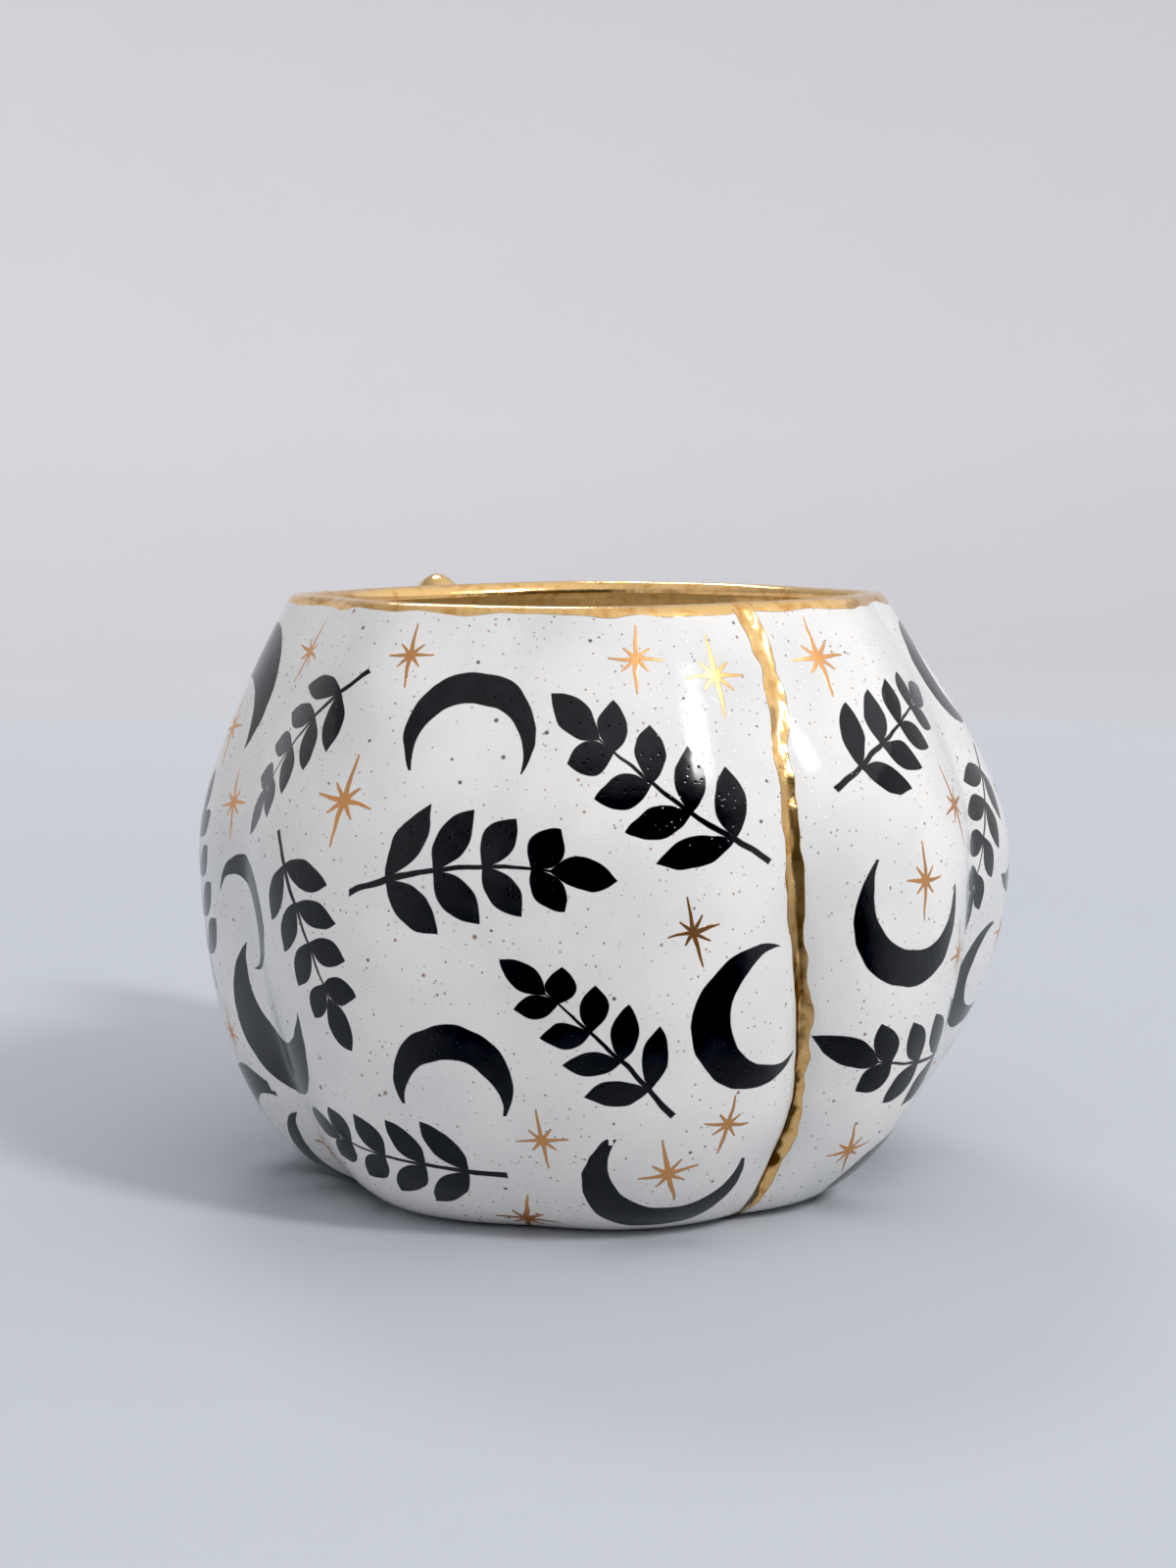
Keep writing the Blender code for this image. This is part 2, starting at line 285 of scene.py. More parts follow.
@dataclass
class HandForm:
    """What the maker's hands did to the round outline: sag, lobes, valleys and the crease.

    A row of crease_path is a share of the height, and the degrees by which the crease stands aside.
    A row of valleys is the degrees from the crease, the depth at the rim and the depth low down.
    """

    outline: WallOutline
    belly_sag: float = 0.0034
    sag_sharpness: float = 1.3
    plan_oval: float = 0.0009
    rim_tilt: float = 0.0006
    rim_tilt_angle: float = 140.0
    rim_wave: float = 0.00025
    rim_waves: int = 3
    lift_above: float = 0.5
    lobe_count: int = 8
    lobe_swell: float = 0.0008
    crease_depth_rim: float = 0.0008
    crease_depth_low: float = 0.0042
    crease_half_width: float = 0.0074
    groove_depth: float = 0.0008
    groove_half_width: float = 0.0019
    crease_foot_share: float = 0.25
    crease_run_out: float = 0.14
    crease_path: tuple[tuple[float, float], ...] = (
        (0.0, 6.2), (0.17, 6.8), (0.36, 2.9), (0.55, -0.5), (0.76, 0.5), (0.88, 3.2), (1.0, 2.5),
    )
    valleys: tuple[tuple[float, float, float], ...] = (
        (41.0, 0.0008, 0.0050),
        (90.0, 0.0003, 0.0012),
        (135.0, 0.0003, 0.0012),
        (-135.0, 0.0003, 0.0012),
        (-87.0, 0.0016, 0.0034),
        (-43.0, 0.0003, 0.0010),
    )
    valley_half_width: float = 0.0120
    valley_sharpness: float = 1.5
    deep_below: float = 0.25

    def crease_turn(self, height: Floats) -> Floats:
        """Degrees by which the crease stands aside, read smoothly off its path.

        Args:
            height: Heights up the body.

        Returns:
            The degrees at those heights.
        """
        share = np.clip(height / self.outline.mug_height, 0.0, 1.0)
        place, turn = np.array(self.crease_path).T
        last = len(place) - 1
        after = np.minimum(np.arange(last + 1) + 1, last)
        before = np.maximum(np.arange(last + 1) - 1, 0)
        slope = (turn[after] - turn[before]) / (place[after] - place[before])
        row = np.clip(np.searchsorted(place, share) - 1, 0, last - 1)
        span = place[row + 1] - place[row]
        along = (share - place[row]) / span
        rest = 1.0 - along
        return (
            turn[row] * (1.0 + 2.0 * along) * rest**2
            + slope[row] * span * along * rest**2
            + turn[row + 1] * along**2 * (3.0 - 2.0 * along)
            + slope[row + 1] * span * along**2 * (along - 1.0)
        )

    def arc_from(self, angle: Floats, place: float) -> Floats:
        """Length round the belly from a place in degrees, the shorter way."""
        gap = (angle - place + 180.0) % 360.0 - 180.0
        return np.abs(np.radians(gap)) * self.outline.belly_radius

    def fold_depth(self, angle: Floats, height: Floats) -> Floats:
        """How far the crease and the valleys press the wall in.

        Args:
            angle: Degrees round the body.
            height: Height up the body.

        Returns:
            The depths.
        """
        share = height / self.outline.mug_height
        low = 1.0 - smooth_step(self.deep_below, 1.0, share)
        depth = np.zeros(np.broadcast(angle, height).shape)
        for place, rim_depth, low_depth in self.valleys:
            reach = self.arc_from(angle, place) / self.valley_half_width
            valley = rim_depth + (low_depth - rim_depth) * low
            depth = depth + valley * np.exp(-(reach**self.valley_sharpness))
        crease = self.crease_depth_rim + (self.crease_depth_low - self.crease_depth_rim) * low
        reach = self.arc_from(angle, 0.0)
        fold = crease * np.exp(-((reach / self.crease_half_width) ** self.valley_sharpness))
        fold = fold + self.groove_depth * low * np.exp(-((reach / self.groove_half_width) ** 2))
        rise = smooth_step(0.0, self.crease_run_out, share)
        return depth + fold * (self.crease_foot_share + (1.0 - self.crease_foot_share) * rise)

    def points(self, angle: Floats, radius: Floats, height: Floats, fold: Floats) -> Floats:
        """Places on the skin.

        Args:
            angle: Degrees round the body from the crease.
            radius: Radius on the outline.
            height: Height on the outline.
            fold: The share of the folds' depth that is taken.

        Returns:
            Points, with X, Y and Z last.
        """
        share = np.clip(height / self.outline.mug_height, 0.0, 1.0)
        bulge = np.sin(math.pi * share)
        round_ = np.radians(angle)
        lobe = self.lobe_swell * (0.5 - 0.5 * np.cos(round_ * self.lobe_count))
        oval = -self.plan_oval * np.cos(2.0 * round_) * bulge
        reach = radius + lobe + oval - fold * self.fold_depth(angle, height)
        turned = np.radians(angle + self.crease_turn(height) * (0.5 + 0.5 * np.cos(round_)))
        sag = self.belly_sag * bulge**self.sag_sharpness
        lift = self.rim_tilt * np.cos(round_ - math.radians(self.rim_tilt_angle))
        lift = lift + self.rim_wave * np.sin(round_ * self.rim_waves)
        lift = lift * smooth_step(self.lift_above, 1.0, share)
        return np.stack((reach * np.sin(turned) + sag, -reach * np.cos(turned), height + lift), axis=-1)


def mesh_from(name: str, points: Floats, faces: Sequence[Sequence[int]], regions: Whole) -> Mesh:
    """Makes a smooth mesh with a slot number on each face.

    Args:
        name: The mesh's name.
        points: Its vertices.
        faces: Its faces, as rows of vertex numbers.
        regions: The slot number of each face.

    Returns:
        The mesh.
    """
    mesh = bpy.data.meshes.new(name)
    mesh.from_pydata(points.tolist(), [], faces)
    mesh.polygons.foreach_set("material_index", regions.astype(np.int32))
    mesh.shade_smooth()
    mesh.update()
    return mesh


def values_of(items: bpy.types.bpy_prop_collection, name: str, kind: type = float, width: int = 1) -> NDArray:
    """Reads one property of every item of a mesh.

    Args:
        items: The mesh's vertices, faces or corners.
        name: The property.
        kind: The sort of number it holds.
        width: How many numbers an item has.

    Returns:
        The numbers, in rows where an item has several.
    """
    found = np.empty(len(items) * width, kind)
    items.foreach_get(name, found)
    return found.reshape(-1, width) if width > 1 else found


def place_object(name: str, data: Mesh | bpy.types.Light | bpy.types.Camera) -> Object:
    """Puts an object into the scene.

    Args:
        name: Its name.
        data: What it holds.

    Returns:
        The object.
    """
    thing = bpy.data.objects.new(name, data)
    bpy.context.scene.collection.objects.link(thing)
    return thing


@dataclass
class MugBody:
    """The hollow body as one fine closed skin, a little uneven as hands leave it."""

    form: HandForm
    columns: int = 400
    column_crowding: float = 0.55
    disc_rings: int = 7
    swell_depth: float = 0.00022
    swell_length: float = 0.021
    dent_depth: float = 0.00008
    dent_length: float = 0.0075
    ripple_depth: float = 0.00016
    ripple_length: float = 0.0034
    ripple_half_width: float = 0.0024
    ripple_least: float = 0.01
    noise_seeds: tuple[float, float, float] = (3.7, 11.3, 23.1)
    even_below: float = 0.012

    def angles(self) -> Floats:
        """Degrees of the columns, closest together at the crease."""
        even = 2.0 * math.pi * np.arange(self.columns) / self.columns - math.pi
        return np.degrees(even - self.column_crowding * np.sin(even))

    def unevenness(self, grid: Floats, rings: Rings) -> Floats:
        """How far each point of the wall stands in or out of the plain form.

        Args:
            grid: The wall's points, a ring a row.
            rings: What the rings are.

        Returns:
            The distances, outwards.
        """
        flat = grid.reshape(-1, 3)
        swell_seed, dent_seed, ripple_seed = self.noise_seeds
        swell = self.swell_depth * noise_at(flat, self.swell_length, swell_seed)
        dent = self.dent_depth * noise_at(flat, self.dent_length, dent_seed)
        near = np.radians(self.angles())[None, :] * rings.radius[:, None]
        band = np.exp(-((near / self.ripple_half_width) ** 4)) * (rings.below_rim > 0.0)[:, None]
        ripple = np.zeros(band.shape)
        close = band > self.ripple_least
        ripple[close] = self.ripple_depth * noise_at(grid[close], self.ripple_length, ripple_seed)
        fade = smooth_step(0.0, self.even_below, rings.height)[:, None]
        return (swell + dent).reshape(band.shape) * fade + ripple * band * fade

    def build(self) -> tuple[Mesh, Floats, Floats]:
        """Builds the body.

        Returns:
            The mesh, and for each vertex its distance round the body from the crease and its distance
            along the wall below the rim, which is negative inside.
        """
        outline = self.form.outline
        rings = outline.rings()
        angle = self.angles()[None, :]
        wall = self.form.points(angle, rings.radius[:, None], rings.height[:, None], rings.fold[:, None])
        aside = wall[:, :, :2] / np.linalg.norm(wall[:, :, :2], axis=2, keepdims=True)
        wall[:, :, :2] += aside * self.unevenness(wall, rings)[:, :, None]
        shares = np.arange(1, self.disc_rings)[:, None, None] / self.disc_rings
        under_centre = np.zeros(3)
        floor_centre = np.array((0.0, 0.0, outline.floor))
        under = under_centre + (wall[0][None] - under_centre) * shares
        floor = floor_centre + (wall[-1][None] - floor_centre) * shares[::-1]
        stack = np.concatenate((under, wall, floor))
        points = np.concatenate((under_centre[None], stack.reshape(-1, 3), floor_centre[None]))

        count = self.columns
        faces: list[tuple[int, ...]] = []
        regions: list[int] = []
        first_wall = self.disc_rings - 1
        for ring in range(len(stack) - 1):
            below = 1 + ring * count
            above = below + count
            region = Region.OUTSIDE if ring < first_wall + rings.lip_middle else Region.INSIDE
            region = Region.UNDERSIDE if ring < first_wall else region
            for column in range(count):
                beside = (column + 1) % count
                faces.append((below + column, below + beside, above + beside, above + column))
                regions.append(region)
        last = 1 + (len(stack) - 1) * count
        for column in range(count):
            beside = (column + 1) % count
            faces.append((0, 1 + beside, 1 + column))
            regions.append(Region.UNDERSIDE)
            faces.append((last + column, last + beside, len(points) - 1))
            regions.append(Region.INSIDE)

        below_rim = np.pad(rings.below_rim, first_wall, mode="edge")
        reach = np.pad(rings.radius, first_wall, mode="edge")
        from_crease = np.radians(angle) * reach[:, None]
        ends = np.array([0.0])
        crease = np.concatenate((ends, from_crease.ravel(), ends))
        rim = np.concatenate((below_rim[:1], np.repeat(below_rim, count), below_rim[-1:]))
        return mesh_from("mug_body", points, faces, np.array(regions)), crease, rim


@dataclass
class Handle:
    """A coil of clay bent into an ear, with a small point pinched up as a thumb rest."""

    form: HandForm
    width: float = 0.0098
    thickness: float = 0.0088
    top_join_below_rim: float = 0.0120
    low_join_height: float = 0.0275
    crown_below_rim: float = 0.0009
    crown_out: float = 0.0118
    finger_gap: float = 0.0264
    middle_below_rim: float = 0.0305
    top_swing: float = 0.0058
    middle_swing: float = 0.0206
    low_swing: float = 0.0200
    flare: float = 0.50
    flare_length: float = 0.0060
    smear: float = 0.42
    smear_length: float = 0.0016
    thumb_rest_rise: float = 0.0026
    thumb_rest_half_length: float = 0.0036
    unevenness: float = 0.00022
    unevenness_length: float = 0.011
    noise_seed: float = 41.9
    steps: int = 34
    sides: int = 36
    quarter_ellipse: float = 0.5523

    def joint(self, height: float) -> tuple[Floats, Floats]:
        """Where the coil meets the wall at a height, and the direction out of the wall there."""
        radius, out = self.form.outline.wall_at(height)
        spot = self.form.points(np.array(180.0), np.array(radius), np.array(height), np.array(1.0))
        return spot, np.array((0.0, out[0], out[1]))

    def crown(self) -> Floats:
        """The middle of the coil at its highest point."""
        top, _ = self.joint(self.form.outline.mug_height - self.top_join_below_rim)
        rise = self.form.outline.mug_height - self.crown_below_rim - self.thickness / 2.0
        return np.array((top[0], top[1] + self.crown_out, rise))

    def thumb_rest(self) -> Floats:
        """The tip of the thumb rest."""
        return self.crown() + np.array((0.0, 0.0, self.thickness / 2.0 + self.thumb_rest_rise))

    def route(self) -> tuple[Floats, Floats]:
        """Points down the middle of the coil and its directions of travel, from the upper joint."""
        outline = self.form.outline
        top, top_out = self.joint(outline.mug_height - self.top_join_below_rim)
        low, low_out = self.joint(self.low_join_height)
        belly, _ = self.joint(outline.belly_height)
        half = self.thickness / 2.0
        crown = self.crown()
        bend_out = belly[1] + self.finger_gap + half
        bend = np.array((0.5 * (top[0] + low[0]), bend_out, outline.mug_height - self.middle_below_rim))
        back = np.array((0.0, 1.0, 0.0))
        up = np.array((0.0, 0.0, 1.0))
        out = (bend[1] - crown[1]) * self.quarter_ellipse
        drop = (crown[2] - bend[2]) * self.quarter_ellipse
        sunk = outline.wall / 2.0
        spans = (
            (top - top_out * sunk, top + top_out * self.top_swing, crown - back * self.top_swing, crown),
            (crown, crown + back * out, bend + up * drop, bend),
            (bend, bend - up * self.middle_swing, low + low_out * self.low_swing, low - low_out * sunk),
        )
        points = []
        headings = []
        for corners in spans:
            shares = np.arange(1 if points else 0, self.steps + 1) / self.steps
            points.append(cubic_points(np.array(corners), shares))
            headings.append(cubic_headings(np.array(corners), shares))
        return np.concatenate(points), np.concatenate(headings)

    def build(self) -> Mesh:
        """The coil as a closed mesh, wider where it is smeared onto the body."""
        points, headings = self.route()
        steps = np.linalg.norm(np.diff(points, axis=0), axis=1)
        distance = np.concatenate(([0.0], np.cumsum(steps)))
        crown = distance[self.steps]
        to_end = np.minimum(distance, distance[-1] - distance)
        past_wall = np.maximum(to_end - self.form.outline.wall / 2.0, 0.0)
        flare = 1.0 + self.flare * np.exp(-to_end / self.flare_length)
        flare = flare + self.smear * np.exp(-past_wall / self.smear_length)
        pinch = self.thumb_rest_rise * np.exp(-(((distance - crown) / self.thumb_rest_half_length) ** 2))
        across = np.array((1.0, 0.0, 0.0))
        rise = np.cross(across, headings)
        rise /= np.linalg.norm(rise, axis=1, keepdims=True)
        turn = 2.0 * math.pi * np.arange(self.sides) / self.sides
        sideways = np.cos(turn)[None, :] * self.width / 2.0 * flare[:, None]
        lifted = pinch[:, None] * np.maximum(np.sin(turn), 0.0)[None, :]
        upward = np.sin(turn)[None, :] * (self.thickness / 2.0 * flare[:, None] + lifted)
        skin = points[:, None] + across * sideways[:, :, None] + rise[:, None] * upward[:, :, None]
        out = skin - points[:, None]
        out /= np.linalg.norm(out, axis=2, keepdims=True)
        uneven = noise_at(skin.reshape(-1, 3), self.unevenness_length, self.noise_seed)
        uneven = uneven.reshape(skin.shape[:2])
        skin = skin + out * (uneven * self.unevenness)[:, :, None]
        faces: list[tuple[int, ...]] = []
        for ring in range(len(points) - 1):
            for side in range(self.sides):
                beside = (side + 1) % self.sides
                here = ring * self.sides
                there = here + self.sides
                faces.append((here + side, there + side, there + beside, here + beside))
        faces.append(tuple(range(self.sides)))
        faces.append(tuple(reversed(range(skin.size // 3 - self.sides, skin.size // 3))))
        return mesh_from("handle_coil", skin.reshape(-1, 3), faces, np.full(len(faces), Region.HANDLE))


@dataclass(frozen=True)
class MoonShape:
    """A crescent: a disc with a second disc taken out of it, its horns at a set angle."""

    horn_angle_deg: float = 52.0
    cover_turns_deg: tuple[float, ...] = (
        66.0, 80.0, 95.0, 111.0, 128.0, 145.0, 162.0, 180.0, 198.0, 215.0, 232.0, 249.0, 265.0, 280.0, 294.0,
    )
    cover_margin: float = 0.07

    def cover(self, hollow: float) -> list[tuple[float, float, float]]:
        """Discs along the crescent that cover it, in sizes.

        Args:
            hollow: How far the hollow's middle stands aside.

        Returns:
            Each disc's place across and along, and its radius.
        """
        square = 1.0 - 2.0 * hollow * math.cos(math.radians(self.horn_angle_deg)) + hollow**2
        found = []
        for turn_deg in self.cover_turns_deg:
            turn = math.radians(turn_deg)
            inner = hollow * math.cos(turn) + math.sqrt(square - (hollow * math.sin(turn)) ** 2)
            middle = 0.5 * (1.0 + inner)
            reach = 0.5 * (1.0 - inner) + self.cover_margin
            found.append((middle * math.cos(turn), middle * math.sin(turn), reach))
        return found


@dataclass(frozen=True)
class SprigShape:
    """A leafy sprig as shares of its half length: a bent stem, pairs of leaves and one at the tip.

    A row of cover_discs is a disc's place along the stem and its radius.
    """

    stem_half_width: float = 0.030
    stem_taper: float = 0.4
    stem_middle_share: float = 0.6
    stem_end: float = 0.94
    leaf_pairs: int = 4
    first_leaf: float = -0.62
    leaf_step: float = 0.37
    leaf_length: float = 0.60
    leaf_shrink: float = 0.075
    leaf_half_width: float = 0.125
    leaf_angle_deg: float = 38.0
    tip_leaf_start: float = 0.62
    tip_leaf_length: float = 0.50
    straight_at: float = 0.47
    bend_gain: float = 1.1
    cover_discs: tuple[tuple[float, float], ...] = (
        (-0.90, 0.17), (-0.62, 0.32), (-0.30, 0.56), (0.04, 0.53), (0.36, 0.47), (0.66, 0.39), (0.98, 0.24),
    )

    def leaves(self) -> list[tuple[float, float, float]]:
        """Where each leaf starts on the stem, its length, and its angle in degrees."""
        found = []
        for pair in range(self.leaf_pairs):
            start = self.first_leaf + pair * self.leaf_step
            found.append((start, self.leaf_length - pair * self.leaf_shrink, self.leaf_angle_deg))
        found.append((self.tip_leaf_start, self.tip_leaf_length, 90.0))
        return found

    def cover(self, hollow: float) -> list[tuple[float, float, float]]:
        """Discs along the bent stem that cover the sprig, in sizes.

        Args:
            hollow: The number that sets the bend.

        Returns:
            Each disc's place across and along, and its radius.
        """
        bend = (hollow - self.straight_at) * self.bend_gain
        return [(bend * max(1.0 - place**2, 0.0), place, reach) for place, reach in self.cover_discs]


@dataclass(frozen=True)
class StarShape:
    """An eight-rayed star as shares of its half height, drawn with thin tapered strokes."""

    half_stroke: float = 0.072
    end_share: float = 0.30
    tall: float = 1.0
    wide: float = 0.72
    slanting: float = 0.48
    cover_reach: float = 0.88

    def cover(self, _hollow: float) -> list[tuple[float, float, float]]:
        """The one disc that covers the star, in sizes."""
        return [(0.0, 0.0, self.cover_reach)]


@dataclass
class Figure:
    """One painted figure: where it sits, how it is turned, and how large it is."""

    kind: Motif
    centre: Floats
    across: Floats
    along: Floats
    size: float
    hollow: float


@dataclass
class Decoration:
    """Scatters the painted figures over the outside, none over another."""

    seed: int = 11
    tries: int = 9000
    gap: float = 0.0004
    reach_limit: float = 2.2
    moon_count: int = 34
    moon_sizes: tuple[float, float] = (0.0080, 0.0136)
    hollows: tuple[float, float] = (0.32, 0.62)
    sprig_count: int = 22
    sprig_sizes: tuple[float, float] = (0.0135, 0.0195)
    star_count: int = 44
    star_sizes: tuple[float, float] = (0.0048, 0.0074)
    star_turns: float = 0.5
    kept_bare: list[tuple[Floats, float]] = field(default_factory=list)

    def keep_bare(self, places: Floats, radius: float) -> None:
        """Keeps the figures off some places.

        Args:
            places: Their middles, one a row.
            radius: How far round each the skin stays bare.
        """
        self.kept_bare += [(place, radius) for place in places]

    @staticmethod
    def discs(figure: Figure) -> list[tuple[Floats, float]]:
        """The discs that a figure covers, each as its middle and its radius."""
        shapes = {Motif.MOON: MoonShape(), Motif.SPRIG: SprigShape(), Motif.STAR: StarShape()}
        return [
            (figure.centre + (figure.across * x + figure.along * y) * figure.size, reach * figure.size)
            for x, y, reach in shapes[figure.kind].cover(figure.hollow)
        ]

    def scatter(self, centres: Floats, normals: Floats, areas: Floats) -> list[Figure]:
        """Places the figures, the black ones first.

        Args:
            centres: Middles of the skin's faces, one a row.
            normals: Their directions out of the clay.
            areas: Their areas.

        Returns:
            The figures.
        """
        dice = np.random.default_rng(self.seed)
        middles = np.array([place for place, _ in self.kept_bare])
        radii = np.array([radius for _, radius in self.kept_bare])
        figures: list[Figure] = []
        wanted = (
            (Motif.SPRIG, self.sprig_count, self.sprig_sizes),
            (Motif.MOON, self.moon_count, self.moon_sizes),
            (Motif.STAR, self.star_count, self.star_sizes),
        )
        for kind, count, sizes in wanted:
            picks = dice.choice(len(centres), self.tries, p=areas / areas.sum())
            left = count
            for place, pick in enumerate(picks):
                if left == 0:
                    break
                eager = 1.0 - place / self.tries
                size = sizes[0] + (sizes[1] - sizes[0]) * eager * dice.random() ** 0.5
                turn = dice.random() * 2.0 * math.pi
                if kind is Motif.STAR:
                    turn = (dice.random() - 0.5) * self.star_turns
                hollow = self.hollows[0] + (self.hollows[1] - self.hollows[0]) * dice.random()
                level = np.cross((0.0, 0.0, 1.0), normals[pick])
                level /= np.linalg.norm(level)
                climb = np.cross(normals[pick], level)
                across = level * math.cos(turn) + climb * math.sin(turn)
                along = climb * math.cos(turn) - level * math.sin(turn)
                figure = Figure(kind, centres[pick], across, along, size, hollow)
                mine = self.discs(figure)
                clear = all(
                    np.all(np.linalg.norm(middles - middle, axis=1) > radii + radius + self.gap)
                    for middle, radius in mine
                )
                if clear:
                    figures.append(figure)
                    middles = np.concatenate((middles, [middle for middle, _ in mine]))
                    radii = np.concatenate((radii, [radius for _, radius in mine]))
                    left -= 1
            log.info("%s: %d placed", kind.name.lower(), count - left)
        return figures

    def owner_of(self, centres: Floats, figures: Sequence[Figure]) -> Whole:
        """Which figure each face belongs to.

        Args:
            centres: Middles of the faces, one a row.
            figures: The figures.

        Returns:
            The figure's number for each face, or -1.
        """
        owner = np.full(len(centres), -1)
        nearest = np.full(len(centres), self.reach_limit)
        for number, figure in enumerate(figures):
            for middle, radius in self.discs(figure):
                reach = np.linalg.norm(centres - middle, axis=1) / radius
                closer = reach < nearest
                owner[closer] = number
                nearest[closer] = reach[closer]
        return owner


class NodeBoard:
    """A material's nodes, added one at a time."""

    def __init__(self, tree: NodeTree) -> None:
        """Empties the tree."""
        self.tree = tree
        tree.nodes.clear()

    def put(
        self,
        kind: str,
        inputs: Mapping[int | str, object] | Sequence[object] = (),
        out: int | str = 0,
        **settings: object,
    ) -> NodeSocket:
        """Adds a node with its settings and links.

        Args:
            kind: The node's type, without the word ShaderNode.
            inputs: Values or sockets for its inputs, by name or in order.
            out: The output that is wanted.
            **settings: The node's own settings.

        Returns:
            That output.
        """
        node = self.tree.nodes.new("ShaderNode" + kind)
        for name, value in settings.items():
            setattr(node, name, value)
        pairs = inputs.items() if isinstance(inputs, Mapping) else enumerate(inputs)
        for key, value in pairs:
            if isinstance(value, NodeSocket):
                self.tree.links.new(value, node.inputs[key])
            else:
                node.inputs[key].default_value = value
        return node.outputs[out] if node.outputs else None


def new_material(name: str) -> tuple[Material, NodeBoard]:
    """Starts a material.

    Args:
        name: Its name.

    Returns:
        The material and its empty board.
    """
    material = bpy.data.materials.new(name)
    material.use_nodes = True
    return material, NodeBoard(material.node_tree)


@dataclass(frozen=True)
class Grain:
    """A soft random pattern: the real size of its blotches, and how much finer detail they hold."""

    size_mm: float
    detail: float

    def at(self, place: NodeSocket) -> dict[str, object]:
        """The scale and the detail that draw it at a place."""
        return {"Vector": place, "Scale": TO_MM / self.size_mm, "Detail": self.detail}


@dataclass(frozen=True)
class ClearGlaze:
    """Clear glossy glaze, poured over pale clay: gives a wet shine with slight dimples."""

    body: str = "#E9E6E1"
    thick: str = "#DAD9D6"
    clouds: Grain = Grain(17.0, 3.0)
    clouded_between: tuple[float, float] = (0.38, 0.68)
    roughness: float = 0.055
    thin_roughness: float = 0.11
    thin_spots: Grain = Grain(17.0, 2.0)
    thin_between: tuple[float, float] = (0.35, 0.65)
    peel: Grain = Grain(2.6, 1.0)
    peel_depth_mm: float = 0.011
    pit_mm: float = 1.15
    pit_radius_mm: float = 0.26
    pit_depth_mm: float = 0.045


@dataclass(frozen=True)
class IronSpecks:
    """Iron grains in the clay that melt into the glaze: fine grey-brown dots and a few large ones."""

    fine: str = "#6E645C"
    rust: str = "#94603F"
    dark: str = "#3A322D"
    fine_mm: float = 1.0
    fine_radius_mm: float = 0.25
    fine_strength: float = 0.72
    coarse_mm: float = 2.6
    coarse_radius_mm: float = 0.42
    coarse_strength: float = 0.88
    solid_share: float = 0.55
    rusty_above: float = 0.58


@dataclass(frozen=True)
class BlackUnderglaze:
    """Black painted colour, brushed on under the glaze: dense, with a slightly shaky edge."""

    colour: str = "#0B0B0D"
    streak: str = "#18181B"
    streaks: Grain = Grain(3.0, 3.0)
    streaked_between: tuple[float, float] = (0.45, 0.75)
    shake: Grain = Grain(5.0, 1.5)
    shake_mm: float = 0.55
    edge_mm: float = 0.07


@dataclass(frozen=True)
class GoldLustre:
    """Gold lustre, brushed on and fired last: a thin mirror that shows every bump below it.

    It is coppery in the thin strokes of the stars. Low down on the left of the crease it carries painted
    shade and painted reflection, as dark brown laid into its colour.
    """

    colour: str = "#F4C888"
    deep: str = "#CF9148"
    patches: Grain = Grain(2.1, 4.0)
    deep_between: tuple[float, float] = (0.5, 0.8)
    roughness: float = 0.12
    rough_patches: float = 0.26
    rough_between: tuple[float, float] = (0.4, 0.8)
    hammer: Grain = Grain(2.1, 0.6)
    hammer_stretch: tuple[float, float, float] = (1.0, 1.0, 0.45)
    hammer_depth_mm: float = 0.045
    crease_hammer_depth_mm: float = 0.17
    brush: Grain = Grain(0.5, 1.0)
    brush_depth_mm: float = 0.010
    edge_mm: float = 0.08
    rim_outside_mm: float = 3.7
    rim_inside_mm: float = 6.2
    rim_inside_edge_mm: float = 0.1
    rim_shake: Grain = Grain(11.0, 1.0)
    rim_shake_mm: float = 1.5
    crease_half_width_mm: float = 1.32
    crease_shake: Grain = Grain(5.5, 1.0)
    crease_shake_mm: float = 1.1
    crease_flare_mm: float = 1.1
    crease_flare_length_mm: float = 4.5
    thumb_radius_mm: float = 6.0
    thumb_shake_mm: float = 3.0
    # Painted shade and painted reflection: the dark brown laid into the gold low down on the left of the
    # crease, how much of it, where it lies and how its edge shakes.
    painted_shade: str = "#3B2410"
    painted_shade_share: float = 0.92
    painted_shade_below_rim_mm: tuple[float, float] = (36.0, 64.0)
    painted_shade_aside_mm: tuple[float, float] = (-0.1, 0.7)
    painted_shade_shake: Grain = Grain(4.0, 2.0)
    painted_shade_shake_mm: float = 2.8
    star: str = "#DFA36C"
    star_edge_mm: float = 0.05
    star_roughness: float = 0.36


@dataclass(frozen=True)
class BareClay:
    """Bare fired stoneware, wiped clean of glaze: dry, warm and grainy."""

    colour: str = "#D8CDBE"
    stain: str = "#C2B09A"
    stains: Grain = Grain(9.0, 4.0)
    roughness: float = 0.78
    grog: Grain = Grain(0.8, 3.0)
    grog_depth_mm: float = 0.05
    dark_between: tuple[float, float] = (0.64, 0.72)
    dark_share: float = 0.7


